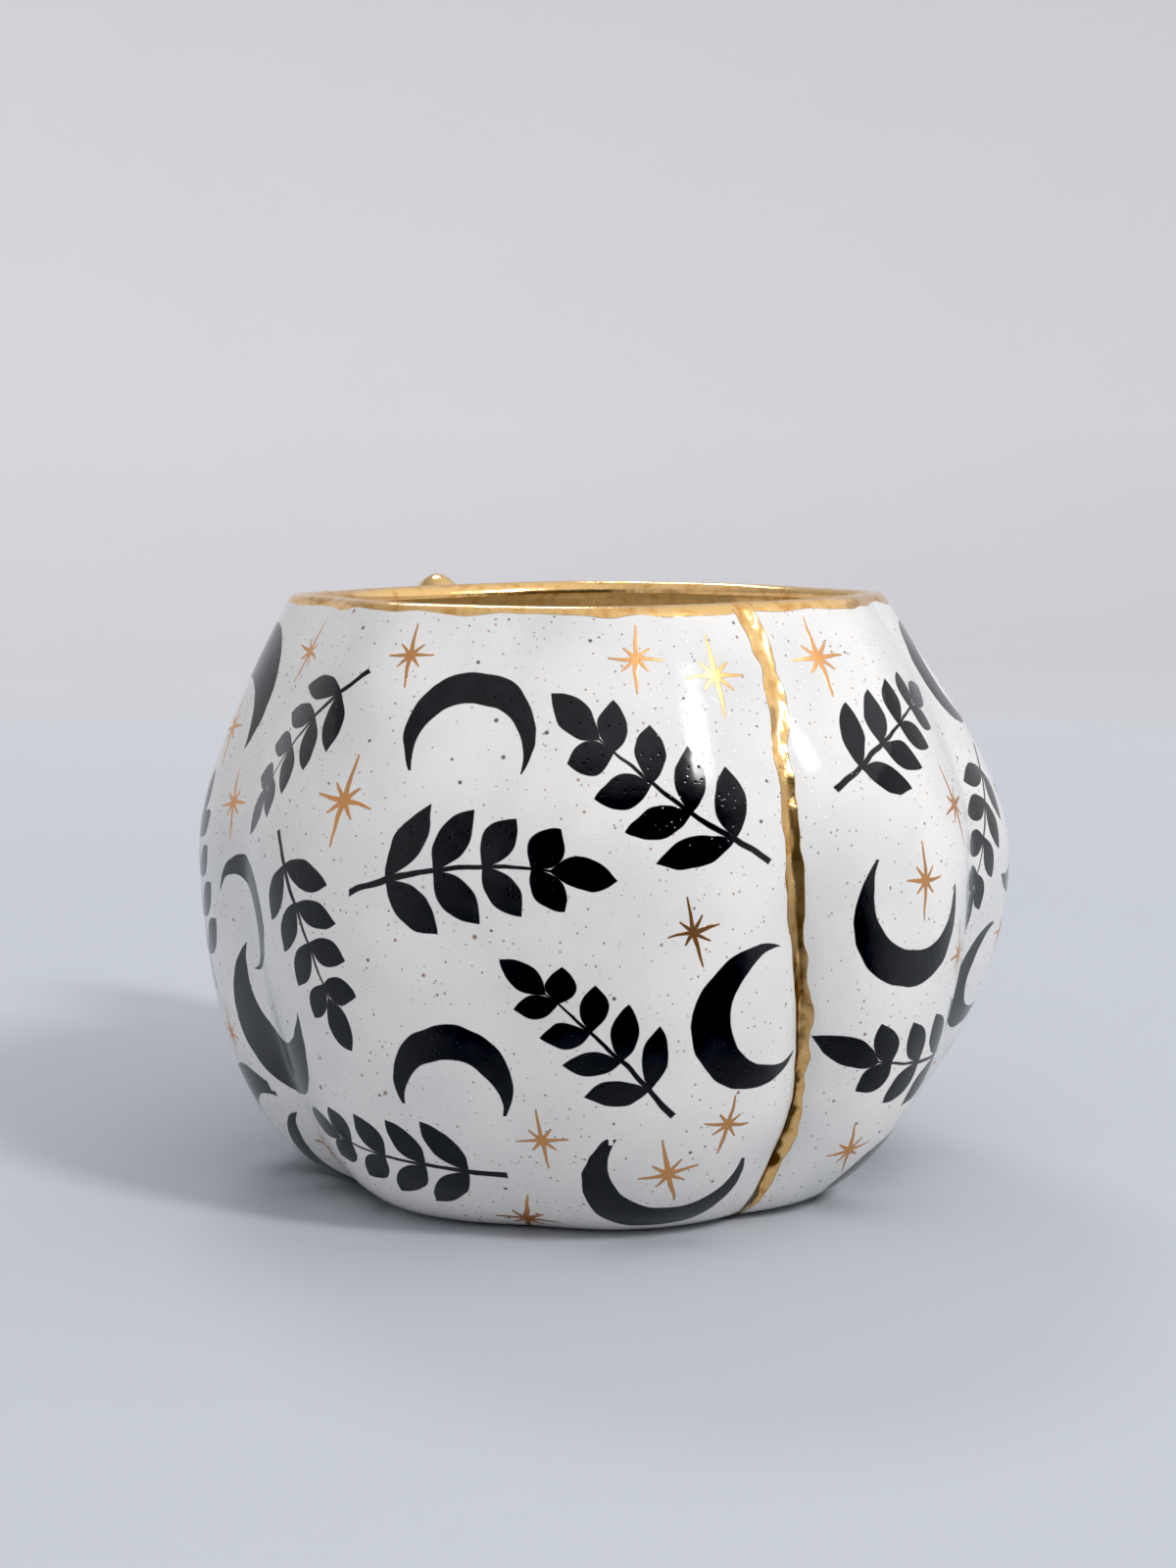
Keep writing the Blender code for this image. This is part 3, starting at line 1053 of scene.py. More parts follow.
@dataclass
class GlazedSurface:
    """The glazed skin with everything that is painted on it."""

    glaze: ClearGlaze = ClearGlaze()
    specks: IronSpecks = IronSpecks()
    black: BlackUnderglaze = BlackUnderglaze()
    gold: GoldLustre = GoldLustre()
    moon: MoonShape = MoonShape()
    sprig: SprigShape = SprigShape()
    star: StarShape = StarShape()

    def __post_init__(self) -> None:
        """Starts the material and reads what the skin stores."""
        self.material, self.board = new_material("clear_glazed_speckled_stoneware")
        self.place = self.board.put("TexCoord", out="Object")
        self.crease, self.rim, self.thumb_rest = (
            self.board.put("Attribute", out="Fac", attribute_name=name) for name in DISTANCES
        )

    def build(self) -> Material:
        """Makes the material: clear-glazed speckled stoneware, painted and lustred."""
        put = self.board.put
        black, star = self._figures()
        gold, seam = self._gold_mask(star)
        lustre, lustre_roughness = self._lustre()
        painted = put("Mix", {"Factor": black, 6: self._ground(), 7: self._ink()}, **COLOURS)
        thin_gold = put("Mix", {"Factor": star, 6: lustre, 7: linear_colour(self.gold.star)}, **COLOURS)
        colour = put("Mix", {"Factor": gold, 6: painted, 7: thin_gold}, **COLOURS)
        thin = put("TexNoise", self.glaze.thin_spots.at(self.place))
        shine = put("MapRange", (
            thin, *self.glaze.thin_between, self.glaze.roughness, self.glaze.thin_roughness,
        ))
        gold_roughness = put("Mix", {"Factor": star, 2: lustre_roughness, 3: self.gold.star_roughness})
        roughness = put("Mix", {"Factor": gold, 2: shine, 3: gold_roughness})
        shader = put("BsdfPrincipled", {
            "Base Color": colour, "Metallic": gold, "Roughness": roughness,
            "Normal": self._relief(gold, seam),
        })
        put("OutputMaterial", (shader,))
        return self.material

    def _figures(self) -> tuple[NodeSocket, NodeSocket]:
        """Draws the painted figures.

        Returns:
            How much black paint and how much of a gold star is there.
        """
        put = self.board.put
        spot = put("Attribute", out="Vector", attribute_name="figure_place")
        look = put("Attribute", out="Vector", attribute_name="figure_look")
        kind, size, hollow = put("SeparateXYZ", (look,)).node.outputs
        shake = put("TexNoise", self.black.shake.at(self.place), out="Color")
        centred = put("VectorMath", (shake, (0.5, 0.5, 0.5)), operation="SUBTRACT")
        amount = put("Math", (self.black.shake_mm * 2.0, size), operation="DIVIDE")
        shift = put("VectorMath", {0: centred, "Scale": amount}, operation="SCALE")
        shaken = put("VectorMath", (spot, shift), operation="ADD")
        flat = put("VectorMath", (shaken, (1.0, 1.0, 0.0)), operation="MULTIPLY")
        masks = []
        for wanted, distance, edge in (
            (Motif.MOON, self._moon(flat, hollow), self.black.edge_mm),
            (Motif.SPRIG, self._sprig(flat, hollow), self.black.edge_mm),
            (Motif.STAR, self._star(flat), self.gold.star_edge_mm),
        ):
            real = put("Math", (distance, size), operation="MULTIPLY")
            inside = put("MapRange", (real, -edge, edge, 1.0, 0.0))
            here = put("Math", (kind, float(wanted), 0.5), operation="COMPARE")
            masks.append(put("Math", (inside, here), operation="MULTIPLY"))
        return put("Math", (masks[0], masks[1]), operation="ADD"), masks[2]

    def _moon(self, flat: NodeSocket, hollow: NodeSocket) -> NodeSocket:
        """Distance out of a crescent, in sizes.

        Args:
            flat: The place within the figure.
            hollow: How far the hollow's middle stands aside.

        Returns:
            The distance, negative in the paint.
        """
        put = self.board.put
        horn = 2.0 * math.cos(math.radians(self.moon.horn_angle_deg))
        disc = put("VectorMath", (flat,), out="Value", operation="LENGTH")
        outer = put("Math", (disc, 1.0), operation="SUBTRACT")
        middle = put("CombineXYZ", (hollow,))
        away = put("VectorMath", (flat, middle), out="Value", operation="DISTANCE")
        less = put("Math", (hollow, horn), operation="SUBTRACT")
        square = put("Math", (less, hollow, 1.0), operation="MULTIPLY_ADD")
        radius = put("Math", (square,), operation="SQRT")
        inner = put("Math", (radius, away), operation="SUBTRACT")
        return put("Math", (outer, inner), operation="MAXIMUM")

    def _sprig(self, flat: NodeSocket, hollow: NodeSocket) -> NodeSocket:
        """Distance out of a leafy sprig, in sizes.

        Args:
            flat: The place within the figure.
            hollow: A number that differs from sprig to sprig and sets its bend.

        Returns:
            The distance, negative in the paint.
        """
        put = self.board.put
        shape = self.sprig
        x, y, _ = put("SeparateXYZ", (flat,)).node.outputs
        square = put("Math", (y, y), operation="MULTIPLY")
        arch = put("Math", (1.0, square), operation="SUBTRACT")
        lean = put("Math", (hollow, shape.straight_at), operation="SUBTRACT")
        bend = put("Math", (lean, shape.bend_gain), operation="MULTIPLY")
        bow = put("Math", (arch, bend), operation="MULTIPLY")
        straight = put("Math", (x, bow), operation="SUBTRACT")
        side = put("Math", (straight,), operation="ABSOLUTE")
        middle = shape.stem_middle_share * shape.stem_half_width
        taper = put("Math", (y, -shape.stem_taper * shape.stem_half_width, middle), operation="MULTIPLY_ADD")
        stem = put("Math", (side, taper), operation="SUBTRACT")
        height = put("Math", (y,), operation="ABSOLUTE")
        ends = put("Math", (height, shape.stem_end), operation="SUBTRACT")
        found = put("Math", (stem, ends), operation="MAXIMUM")
        half = put("CombineXYZ", (side, y, 1.0))
        for start, length, angle in shape.leaves():
            cos = math.cos(math.radians(angle))
            sin = math.sin(math.radians(angle))
            run = put("VectorMath", (half, (cos, sin, -start * sin)), out="Value", operation="DOT_PRODUCT")
            off = put("VectorMath", (half, (-sin, cos, -start * cos)), out="Value", operation="DOT_PRODUCT")
            wide = put("Math", (off,), operation="ABSOLUTE")
            rest = put("Math", (length, run), operation="SUBTRACT")
            belly = put("Math", (run, rest), operation="MULTIPLY")
            swell = put("Math", (belly, 4.0 * shape.leaf_half_width / length**2), operation="MULTIPLY")
            leaf = put("Math", (wide, swell), operation="SUBTRACT")
            found = put("Math", (found, leaf), operation="MINIMUM")
        return found

    def _star(self, flat: NodeSocket) -> NodeSocket:
        """Distance out of an eight-rayed star, in sizes.

        Args:
            flat: The place within the figure.

        Returns:
            The distance, negative in the gold.
        """
        put = self.board.put
        shape = self.star
        folded = put("VectorMath", (flat,), operation="ABSOLUTE")
        half = math.sqrt(0.5)
        rays = (
            ((0.0, 1.0, 0.0), (1.0, 0.0, 0.0), shape.tall),
            ((1.0, 0.0, 0.0), (0.0, 1.0, 0.0), shape.wide),
            ((half, half, 0.0), (half, -half, 0.0), shape.slanting),
        )
        found: NodeSocket | None = None
        for heading, side, length in rays:
            run = put("VectorMath", (folded, heading), out="Value", operation="DOT_PRODUCT")
            off = put("VectorMath", (folded, side), out="Value", operation="DOT_PRODUCT")
            wide = put("Math", (off,), operation="ABSOLUTE")
            slope = shape.half_stroke * (1.0 - shape.end_share) / length
            thin = put("Math", (run, -slope, shape.half_stroke), operation="MULTIPLY_ADD")
            stroke = put("Math", (wide, thin), operation="SUBTRACT")
            past = put("Math", (run, length), operation="SUBTRACT")
            ray = put("Math", (stroke, past), operation="MAXIMUM")
            found = ray if found is None else put("Math", (found, ray), operation="MINIMUM")
        return found

    def _gold_mask(self, star: NodeSocket) -> tuple[NodeSocket, NodeSocket]:
        """Where the gold lustre is: the rim, the crease, the thumb rest and the stars.

        Args:
            star: How much of a star is there.

        Returns:
            How much gold is there, 0 to 1, and how much of that is the crease's.
        """
        put = self.board.put
        gold = self.gold
        aside = put("Math", (self.crease,), operation="ABSOLUTE")
        flare_run = put("Math", (self.rim, -1.0 / gold.crease_flare_length_mm), operation="MULTIPLY")
        flare = put("Math", (math.e, flare_run), operation="POWER")
        wide = put("Math", (flare, gold.crease_flare_mm, gold.crease_half_width_mm), operation="MULTIPLY_ADD")
        rows = (
            (aside, wide, gold.crease_shake, gold.crease_shake_mm),
            (self.rim, gold.rim_outside_mm, gold.rim_shake, gold.rim_shake_mm),
            (self.thumb_rest, gold.thumb_radius_mm, gold.crease_shake, gold.thumb_shake_mm),
        )
        bands = []
        for distance, limit, grain, shake_mm in rows:
            shake = put("TexNoise", grain.at(self.place))
            centred = put("Math", (shake, 0.5), operation="SUBTRACT")
            moved = put("Math", (centred, shake_mm * 2.0, distance), operation="MULTIPLY_ADD")
            past = put("Math", (moved, limit), operation="SUBTRACT")
            bands.append(put("MapRange", (past, -gold.edge_mm, gold.edge_mm, 1.0, 0.0)))
        crease_band, rim_band, thumb_band = bands
        above_inside = put("MapRange", (
            put("Math", (self.rim, -1.0), operation="MULTIPLY"),
            gold.rim_inside_mm - gold.rim_inside_edge_mm, gold.rim_inside_mm + gold.rim_inside_edge_mm,
            1.0, 0.0,
        ))
        rim_band = put("Math", (rim_band, above_inside), operation="MULTIPLY")
        outside = put("Math", (self.rim, 0.0), operation="GREATER_THAN")
        crease_band = put("Math", (crease_band, outside), operation="MULTIPLY")
        found = star
        for band in (crease_band, rim_band, thumb_band):
            found = put("Math", (found, band), operation="MAXIMUM")
        return found, crease_band

    def _ground(self) -> NodeSocket:
        """The pale clay under the glaze with its iron specks."""
        put = self.board.put
        glaze = self.glaze
        specks = self.specks
        clouded = put("MapRange", (put("TexNoise", glaze.clouds.at(self.place)), *glaze.clouded_between))
        found = put("Mix", {
            "Factor": clouded, 6: linear_colour(glaze.body), 7: linear_colour(glaze.thick),
        }, **COLOURS)
        rows = (
            (specks.fine_mm, specks.fine_radius_mm, specks.fine_strength, specks.fine),
            (specks.coarse_mm, specks.coarse_radius_mm, specks.coarse_strength, specks.dark),
        )
        for spacing, radius, strength, common in rows:
            cells = put("TexVoronoi", {"Vector": self.place, "Scale": TO_MM / spacing})
            red, green, _ = put("SeparateColor", (cells.node.outputs["Color"],)).node.outputs
            reach = put("Math", (red, radius / spacing), operation="MULTIPLY")
            past = put("Math", (cells, reach), operation="DIVIDE")
            dot = put("MapRange", (past, specks.solid_share, 1.0, strength, 0.0))
            rusty = put("Math", (green, specks.rusty_above), operation="GREATER_THAN")
            tint = put("Mix", {
                "Factor": rusty, 6: linear_colour(common), 7: linear_colour(specks.rust),
            }, **COLOURS)
            found = put("Mix", {"Factor": dot, 6: found, 7: tint}, **COLOURS)
        return found

    def _ink(self) -> NodeSocket:
        """The black paint, a little thinner in streaks."""
        put = self.board.put
        black = self.black
        thin = put("MapRange", (put("TexNoise", black.streaks.at(self.place)), *black.streaked_between))
        return put("Mix", {
            "Factor": thin, 6: linear_colour(black.colour), 7: linear_colour(black.streak),
        }, **COLOURS)

    def _lustre(self) -> tuple[NodeSocket, NodeSocket]:
        """The gold's colour, with painted shade in dark brown low down beside the crease, and its roughness.
        """
        put = self.board.put
        gold = self.gold
        patch = put("TexNoise", gold.patches.at(self.place))
        worn = put("MapRange", (patch, *gold.deep_between))
        colour = put("Mix", {
            "Factor": worn, 6: linear_colour(gold.colour), 7: linear_colour(gold.deep),
        }, **COLOURS)
        roughness = put("MapRange", (patch, *gold.rough_between, gold.roughness, gold.rough_patches))
        # Painted shade and painted reflection: darkens the gold to brown low down on the left of the crease.
        shake = put("TexNoise", gold.painted_shade_shake.at(self.place))
        centred = put("Math", (shake, 0.5), operation="SUBTRACT")
        moved = put("Math", (centred, gold.painted_shade_shake_mm * 2.0, self.crease), operation="MULTIPLY_ADD")
        left = put("MapRange", (moved, *gold.painted_shade_aside_mm, gold.painted_shade_share, 0.0))
        low = put("MapRange", (self.rim, *gold.painted_shade_below_rim_mm))
        painted_shade = put("Math", (left, low), operation="MULTIPLY")
        crease_shaded_lustre = put("Mix", {"Factor": painted_shade, 6: colour, 7: linear_colour(gold.painted_shade)}, **COLOURS)
        return crease_shaded_lustre, roughness

    def _relief(self, gold: NodeSocket, seam: NodeSocket) -> NodeSocket:
        """The fine relief: dimples and pits in the glaze, hammered and brushed gold.

        Args:
            gold: How much gold is there.
            seam: How much of it is the crease's.

        Returns:
            The normal.
        """
        put = self.board.put
        glaze = self.glaze
        lustre = self.gold
        peel = put("TexNoise", glaze.peel.at(self.place))
        peel_mm = put("Math", (peel, glaze.peel_depth_mm * 2.0), operation="MULTIPLY")
        cells = put("TexVoronoi", {"Vector": self.place, "Scale": TO_MM / glaze.pit_mm})
        pit = put("MapRange", (
            cells, 0.0, glaze.pit_radius_mm / glaze.pit_mm, -glaze.pit_depth_mm, 0.0,
        ), interpolation_type="SMOOTHSTEP")
        glazed = put("Math", (peel_mm, pit), operation="ADD")
        drawn = put("VectorMath", (self.place, lustre.hammer_stretch), operation="MULTIPLY")
        hammer = put("TexNoise", lustre.hammer.at(drawn))
        brush = put("TexNoise", lustre.brush.at(self.place))
        depth = put("Math", (
            seam, lustre.crease_hammer_depth_mm * 2.0, lustre.hammer_depth_mm * 2.0,
        ), operation="MULTIPLY_ADD")
        hammer_mm = put("Math", (hammer, depth), operation="MULTIPLY")
        beaten = put("Math", (brush, lustre.brush_depth_mm * 2.0, hammer_mm), operation="MULTIPLY_ADD")
        height = put("Mix", {"Factor": gold, 2: glazed, 3: beaten})
        return put("Bump", {"Strength": 1.0, "Distance": MM, "Height": height})


@dataclass
class BareSurface:
    """The unglazed underside."""

    clay: BareClay = BareClay()
    specks: IronSpecks = IronSpecks()

    def build(self) -> Material:
        """Makes the material: bare fired stoneware, wiped and sponged."""
        clay = self.clay
        material, board = new_material("bare_fired_stoneware")
        place = board.put("TexCoord", out="Object")
        stain = board.put("TexNoise", clay.stains.at(place))
        tone = board.put("Mix", {
            "Factor": stain, 6: linear_colour(clay.colour), 7: linear_colour(clay.stain),
        }, **COLOURS)
        grog = board.put("TexNoise", clay.grog.at(place))
        speck = board.put("MapRange", (grog, *clay.dark_between, 0.0, clay.dark_share))
        colour = board.put("Mix", {"Factor": speck, 6: tone, 7: linear_colour(self.specks.fine)}, **COLOURS)
        height = board.put("Math", (grog, clay.grog_depth_mm), operation="MULTIPLY")
        normal = board.put("Bump", {"Strength": 1.0, "Distance": MM, "Height": height})
        shader = board.put("BsdfPrincipled", {
            "Base Color": colour, "Roughness": clay.roughness, "Normal": normal,
        })
        board.put("OutputMaterial", (shader,))
        return material


@dataclass
class Mug:
    """The whole mug: the body and the handle joined into one skin, then decorated."""

    body: MugBody
    handle: Handle
    decoration: Decoration
    joint_smooth_reach: float = 0.0026
    joint_smooth_rounds: int = 7
    joint_smooth_factor: float = 0.5
    same_point: float = 1e-6
    far_mm: float = 99.0
    off_figure: float = 9.0
    bare_beside_crease: float = 0.0022
    bare_below_rim: float = 0.0040
    bare_above_foot: float = 0.0010
    bare_joint_widths: float = 0.95
    bare_rings_apart: int = 3
    bare_columns: int = 120

    def build(self) -> Object:
        """Builds the finished mug."""
        skin, from_crease, below_rim = self.body.build()
        mug = place_object("speckled_mug", skin)
        coil = place_object("handle_coil", self.handle.build())
        glazed = GlazedSurface().build()
        bare = BareSurface().build()
        for thing in (mug, coil):
            for region in Region:
                thing.data.materials.append(bare if region is Region.UNDERSIDE else glazed)
        known = KDTree(len(skin.vertices))
        for vertex in skin.vertices:
            known.insert(vertex.co, vertex.index)
        known.balance()
        self._join(mug, coil)
        mesh = mug.data
        regions = values_of(mesh.polygons, "material_index", np.int32)
        self._mark_distances(mesh, known, from_crease, below_rim)
        self._soften_joints(mesh, regions)
        self._paint_figures(mesh, regions)
        mesh.materials.clear()
        mesh.materials.append(glazed)
        mesh.materials.append(bare)
        mesh.polygons.foreach_set("material_index", (regions == Region.UNDERSIDE).astype(np.int32))
        mesh.update()
        log.info("mug: %d faces", len(mesh.polygons))
        return mug

    @staticmethod
    def _join(mug: Object, coil: Object) -> None:
        """Joins the coil to the body and removes it.

        Args:
            mug: The body, which gets the joined mesh.
            coil: The coil.
        """
        join = mug.modifiers.new("join handle", "BOOLEAN")
        join.operation = "UNION"
        join.solver = "EXACT"
        join.object = coil
        graph = bpy.context.evaluated_depsgraph_get()
        joined = bpy.data.meshes.new_from_object(mug.evaluated_get(graph))
        mug.modifiers.clear()
        mug.data = joined
        bpy.data.objects.remove(coil, do_unlink=True)

    def _mark_distances(self, mesh: Mesh, known: KDTree, from_crease: Floats, below_rim: Floats) -> None:
        """Stores each vertex's distances from the crease, the rim and the thumb rest, in mm.

        Args:
            mesh: The joined skin.
            known: Finds the body's vertices before it was joined.
            from_crease: Their distances from the crease.
            below_rim: Their distances below the rim.
        """
        points = values_of(mesh.vertices, "co", width=3)
        crease = np.full(len(points), self.far_mm)
        rim = np.full(len(points), self.far_mm)
        for place, point in enumerate(points):
            _, number, gap = known.find(point)
            if gap < self.same_point:
                crease[place] = from_crease[number] * TO_MM
                rim[place] = below_rim[number] * TO_MM
        thumb = np.linalg.norm(points - self.handle.thumb_rest(), axis=1) * TO_MM
        thumb[rim < self.far_mm] = self.far_mm
        for name, values in zip(DISTANCES, (crease, rim, thumb)):
            mesh.attributes.new(name, "FLOAT", "POINT").data.foreach_set("value", values)

    def _soften_joints(self, mesh: Mesh, regions: Whole) -> None:
        """Rounds the corner where the handle meets the wall, as a wet finger does.

        Args:
            mesh: The joined skin.
            regions: The region of each face.
        """
        work = bmesh.new()
        work.from_mesh(mesh)
        seam = [
            vertex
            for vertex in work.verts
            if len({regions[face.index] == Region.HANDLE for face in vertex.link_faces}) == 2
        ]
        tree = KDTree(len(seam))
        for place, vertex in enumerate(seam):
            tree.insert(vertex.co, place)
        tree.balance()
        near = [vertex for vertex in work.verts if tree.find(vertex.co)[2] < self.joint_smooth_reach]
        for _ in range(self.joint_smooth_rounds):
            bmesh.ops.smooth_vert(
                work, verts=near, factor=self.joint_smooth_factor,
                use_axis_x=True, use_axis_y=True, use_axis_z=True,
            )
        work.to_mesh(mesh)
        work.free()
        log.info("joints: %d points smoothed", len(near))

    def _paint_figures(self, mesh: Mesh, regions: Whole) -> None:
        """Lays out the figures and stores each face's place within its figure.

        Args:
            mesh: The joined skin.
            regions: The region of each face.
        """
        centres = values_of(mesh.polygons, "center", width=3)
        normals = values_of(mesh.polygons, "normal", width=3)
        areas = values_of(mesh.polygons, "area")
        outside = regions == Region.OUTSIDE
        self._keep_places_bare()
        figures = self.decoration.scatter(centres[outside], normals[outside], areas[outside])
        owner = np.full(len(centres), -1)
        owner[outside] = self.decoration.owner_of(centres[outside], figures)

        corners = values_of(mesh.loops, "vertex_index", np.int32)
        holder = np.repeat(owner, values_of(mesh.polygons, "loop_total", np.int32))
        painted = holder >= 0
        pick = holder[painted]
        size = np.array([figure.size for figure in figures])[pick]
        apart = values_of(mesh.vertices, "co", width=3)[corners][painted]
        apart = apart - np.array([figure.centre for figure in figures])[pick]
        place = np.full((len(corners), 3), self.off_figure)
        look = np.tile((0.0, 1.0, 0.0), (len(corners), 1))
        for axis, way in enumerate(("across", "along")):
            ways = np.array([getattr(figure, way) for figure in figures])[pick]
            place[painted, axis] = (apart * ways).sum(axis=1) / size
        look[painted, 0] = np.array([float(figure.kind) for figure in figures])[pick]
        look[painted, 1] = size * TO_MM
        look[painted, 2] = np.array([figure.hollow for figure in figures])[pick]
        for name, values in (("figure_place", place), ("figure_look", look)):
            mesh.attributes.new(name, "FLOAT_VECTOR", "CORNER").data.foreach_set("vector", values.ravel())

    def _keep_places_bare(self) -> None:
        """Keeps the figures off the crease, the rim, the foot and the handle's joints."""
        form = self.body.form
        rings = form.outline.rings()
        outer = rings.lip_middle + 1
        whole = np.array([1.0])
        crease = form.points(np.array([0.0]), rings.radius[:outer], rings.height[:outer], whole)
        self.decoration.keep_bare(crease[::self.bare_rings_apart], self.bare_beside_crease)
        angles = np.linspace(-180.0, 180.0, self.bare_columns + 1)[:-1]
        for ring, reach in ((outer - 1, self.bare_below_rim), (0, self.bare_above_foot)):
            edge = form.points(angles, rings.radius[ring], rings.height[ring], whole)
            self.decoration.keep_bare(edge, reach)
        for height in (form.outline.mug_height - self.handle.top_join_below_rim, self.handle.low_join_height):
            spot, _ = self.handle.joint(height)
            self.decoration.keep_bare(spot[None], self.handle.width * self.bare_joint_widths)


def direction(azimuth_deg: float, elevation_deg: float) -> Vector:
    """Direction from the mug to a place.

    Args:
        azimuth_deg: The place's azimuth, 0 in front of the crease.
        elevation_deg: Its elevation.

    Returns:
        The unit direction.
    """
    azimuth = math.radians(azimuth_deg)
    elevation = math.radians(elevation_deg)
    level = math.cos(elevation)
    return Vector((math.sin(azimuth) * level, -math.cos(azimuth) * level, math.sin(elevation)))


@dataclass(frozen=True)
class MattPlaster:
    """Painted plaster, rolled on matt: a pale ground without shine.

    Painted shade makes it darker and bluer close to the mug than farther off, and painted light makes the
    wall a little lighter towards the top. Its wall also glows a little as painted light, so that it stays as
    pale as a wall in daylight.
    """

    floor_colour: str = "#BFC3C8"
    wall_colour: str = "#CBCACC"
    # Painted shade: from the darker floor colour near the mug to the paler wall colour farther off, in
    # metres.
    painted_shade_falloff_between: tuple[float, float] = (0.3, 1.3)
    clouds: Grain = Grain(TO_MM / 6.0, 6.0)
    cloud_tones: tuple[float, float] = (0.985, 1.015)
    # Painted light: the wall grows lighter between these heights, up to this share.
    painted_top_light_between: tuple[float, float] = (0.18, 0.72)
    painted_top_light: float = 1.04
    glow: float = 0.10
    glows_above: float = 0.2
    roughness: float = 0.85

    def build(self) -> Material:
        """Makes the material: matt painted plaster."""
        material, board = new_material("matt_painted_plaster")
        put = board.put
        place = put("TexCoord", out="Object")
        height = put("SeparateXYZ", (place,), out=2)
        away = put("VectorMath", (place,), out="Value", operation="LENGTH")
        cloud = put("MapRange", (put("TexNoise", self.clouds.at(place)), 0.0, 1.0, *self.cloud_tones))
        # Painted light: the wall is a little lighter towards the top.
        tone = put("MapRange", (height, *self.painted_top_light_between, 1.0, self.painted_top_light))
        shade = put("Math", (cloud, tone), operation="MULTIPLY")
        # Painted shade: darker and bluer near the mug, paler farther off.
        painted_shade_falloff = put("MapRange", (away, *self.painted_shade_falloff_between))
        base = put("Mix", {
            "Factor": painted_shade_falloff, 6: linear_colour(self.floor_colour), 7: linear_colour(self.wall_colour),
        }, **COLOURS)
        # Painted light: the wall glows, more the higher it stands.
        climb = put("MapRange", (height, 0.0, self.glows_above))
        lit = put("Math", (climb, self.glow), operation="MULTIPLY")
        shader = put("BsdfPrincipled", {
            "Base Color": put("VectorMath", {0: base, "Scale": shade}, operation="SCALE"),
            "Roughness": self.roughness, "Specular IOR Level": 0.0,
            "Emission Color": linear_colour(self.wall_colour),
            "Emission Strength": put("Math", (lit, tone), operation="MULTIPLY"),
        })
        put("OutputMaterial", (shader,))
        return material


@dataclass
class SweptFloor:
    """A round pale floor that curves up into a wall all round."""

    plaster: MattPlaster = MattPlaster()
    inner_radius: float = 0.35
    floor_radius: float = 1.4
    sweep_radius: float = 1.0
    sweep_steps: int = 24
    wall_top: float = 1.2
    sides: int = 128

    def build(self) -> Object:
        """Builds the floor, turned round the middle and swept up at its edge."""
        turns = np.linspace(0.0, math.pi / 2.0, self.sweep_steps)
        radius = np.concatenate(([self.inner_radius], self.floor_radius + self.sweep_radius * np.sin(turns)))
        height = np.concatenate(([0.0], self.sweep_radius * (1.0 - np.cos(turns))))
        radius = np.append(radius, radius[-1])
        height = np.append(height, self.wall_top)
        round_ = 2.0 * math.pi * np.arange(self.sides) / self.sides
        across = radius[:, None] * np.cos(round_)
        along = radius[:, None] * np.sin(round_)
        rows = np.stack((across, along, np.broadcast_to(height[:, None], across.shape)), axis=2)
        points = np.concatenate((np.zeros((1, 3)), rows.reshape(-1, 3)))
        faces: list[tuple[int, ...]] = []
        for side in range(self.sides):
            beside = (side + 1) % self.sides
            faces.append((0, 1 + side, 1 + beside))
            for ring in range(len(radius) - 1):
                here = 1 + ring * self.sides
                there = here + self.sides
                faces.append((here + side, there + side, there + beside, here + beside))
        mesh = mesh_from("pale_floor", points, faces, np.zeros(len(faces), int))
        mesh.materials.append(self.plaster.build())
        return place_object("pale_floor", mesh)


@dataclass(frozen=True)
class DarkFelt:
    """Dark felt, dull and fluffy: takes the light out of what mirrors it, and thins out at its edges."""

    colour: str = "#56575C"

    def build(self) -> Material:
        """Makes the material: dark felt that is see-through where it has no cover."""
        material, board = new_material("dark_felt")
        felt = board.put("BsdfDiffuse", {"Color": linear_colour(self.colour)})
        clear = board.put("BsdfTransparent")
        amount = board.put("Attribute", out="Fac", attribute_name="cover")
        mixed = board.put("MixShader", (amount, clear, felt))
        board.put("OutputMaterial", (mixed,))
        return material


@dataclass
class DarkCard:
    """A bent card in front of the mug that only reflections see: it keeps the black paint black."""

    felt: DarkFelt = DarkFelt()
    azimuth_deg: float = -15.0
    half_angle_deg: float = 54.0
    near: float = 0.066
    distance: float = 0.62
    height: float = 0.62
    lift: float = 0.002
    steps: int = 24
    near_fade: float = 0.09
    top_fade: float = 0.4
    side_fade: float = 0.45

    def build(self) -> Object:
        """Builds the card, which lies on the floor in front of the mug and then stands up."""
        count = self.steps + 1
        shares = np.linspace(-1.0, 1.0, count)
        turn = np.radians(self.azimuth_deg + shares * self.half_angle_deg)
        climb = np.linspace(0.0, 1.0, count)
        far = np.full(count, self.distance)
        reach = np.concatenate((self.near + (self.distance - self.near) * climb, far))
        height = np.concatenate((np.full(count, self.lift), self.lift + self.height * climb))
        fade = np.concatenate((
            smooth_step(0.0, self.near_fade, climb), smooth_step(0.0, self.top_fade, 1.0 - climb),
        ))
        level = np.stack((np.sin(turn), -np.cos(turn), 0.0 * turn), axis=1)
        points = level[None, :] * reach[:, None, None]
        points[:, :, 2] = height[:, None]
        cover = smooth_step(0.0, self.side_fade, 1.0 - np.abs(shares))[None, :] * fade[:, None]
        faces = []
        for row in range(len(reach) - 1):
            for side in range(self.steps):
                here = row * count + side
                faces.append((here, here + 1, here + count + 1, here + count))
        mesh = mesh_from("dark_card", points.reshape(-1, 3), faces, np.zeros(len(faces), int))
        mesh.attributes.new("cover", "FLOAT", "POINT").data.foreach_set("value", cover.ravel())
        mesh.materials.append(self.felt.build())
        card = place_object("dark_card", mesh)
        card.visible_camera = False
        card.visible_diffuse = False
        card.visible_shadow = False
        return card


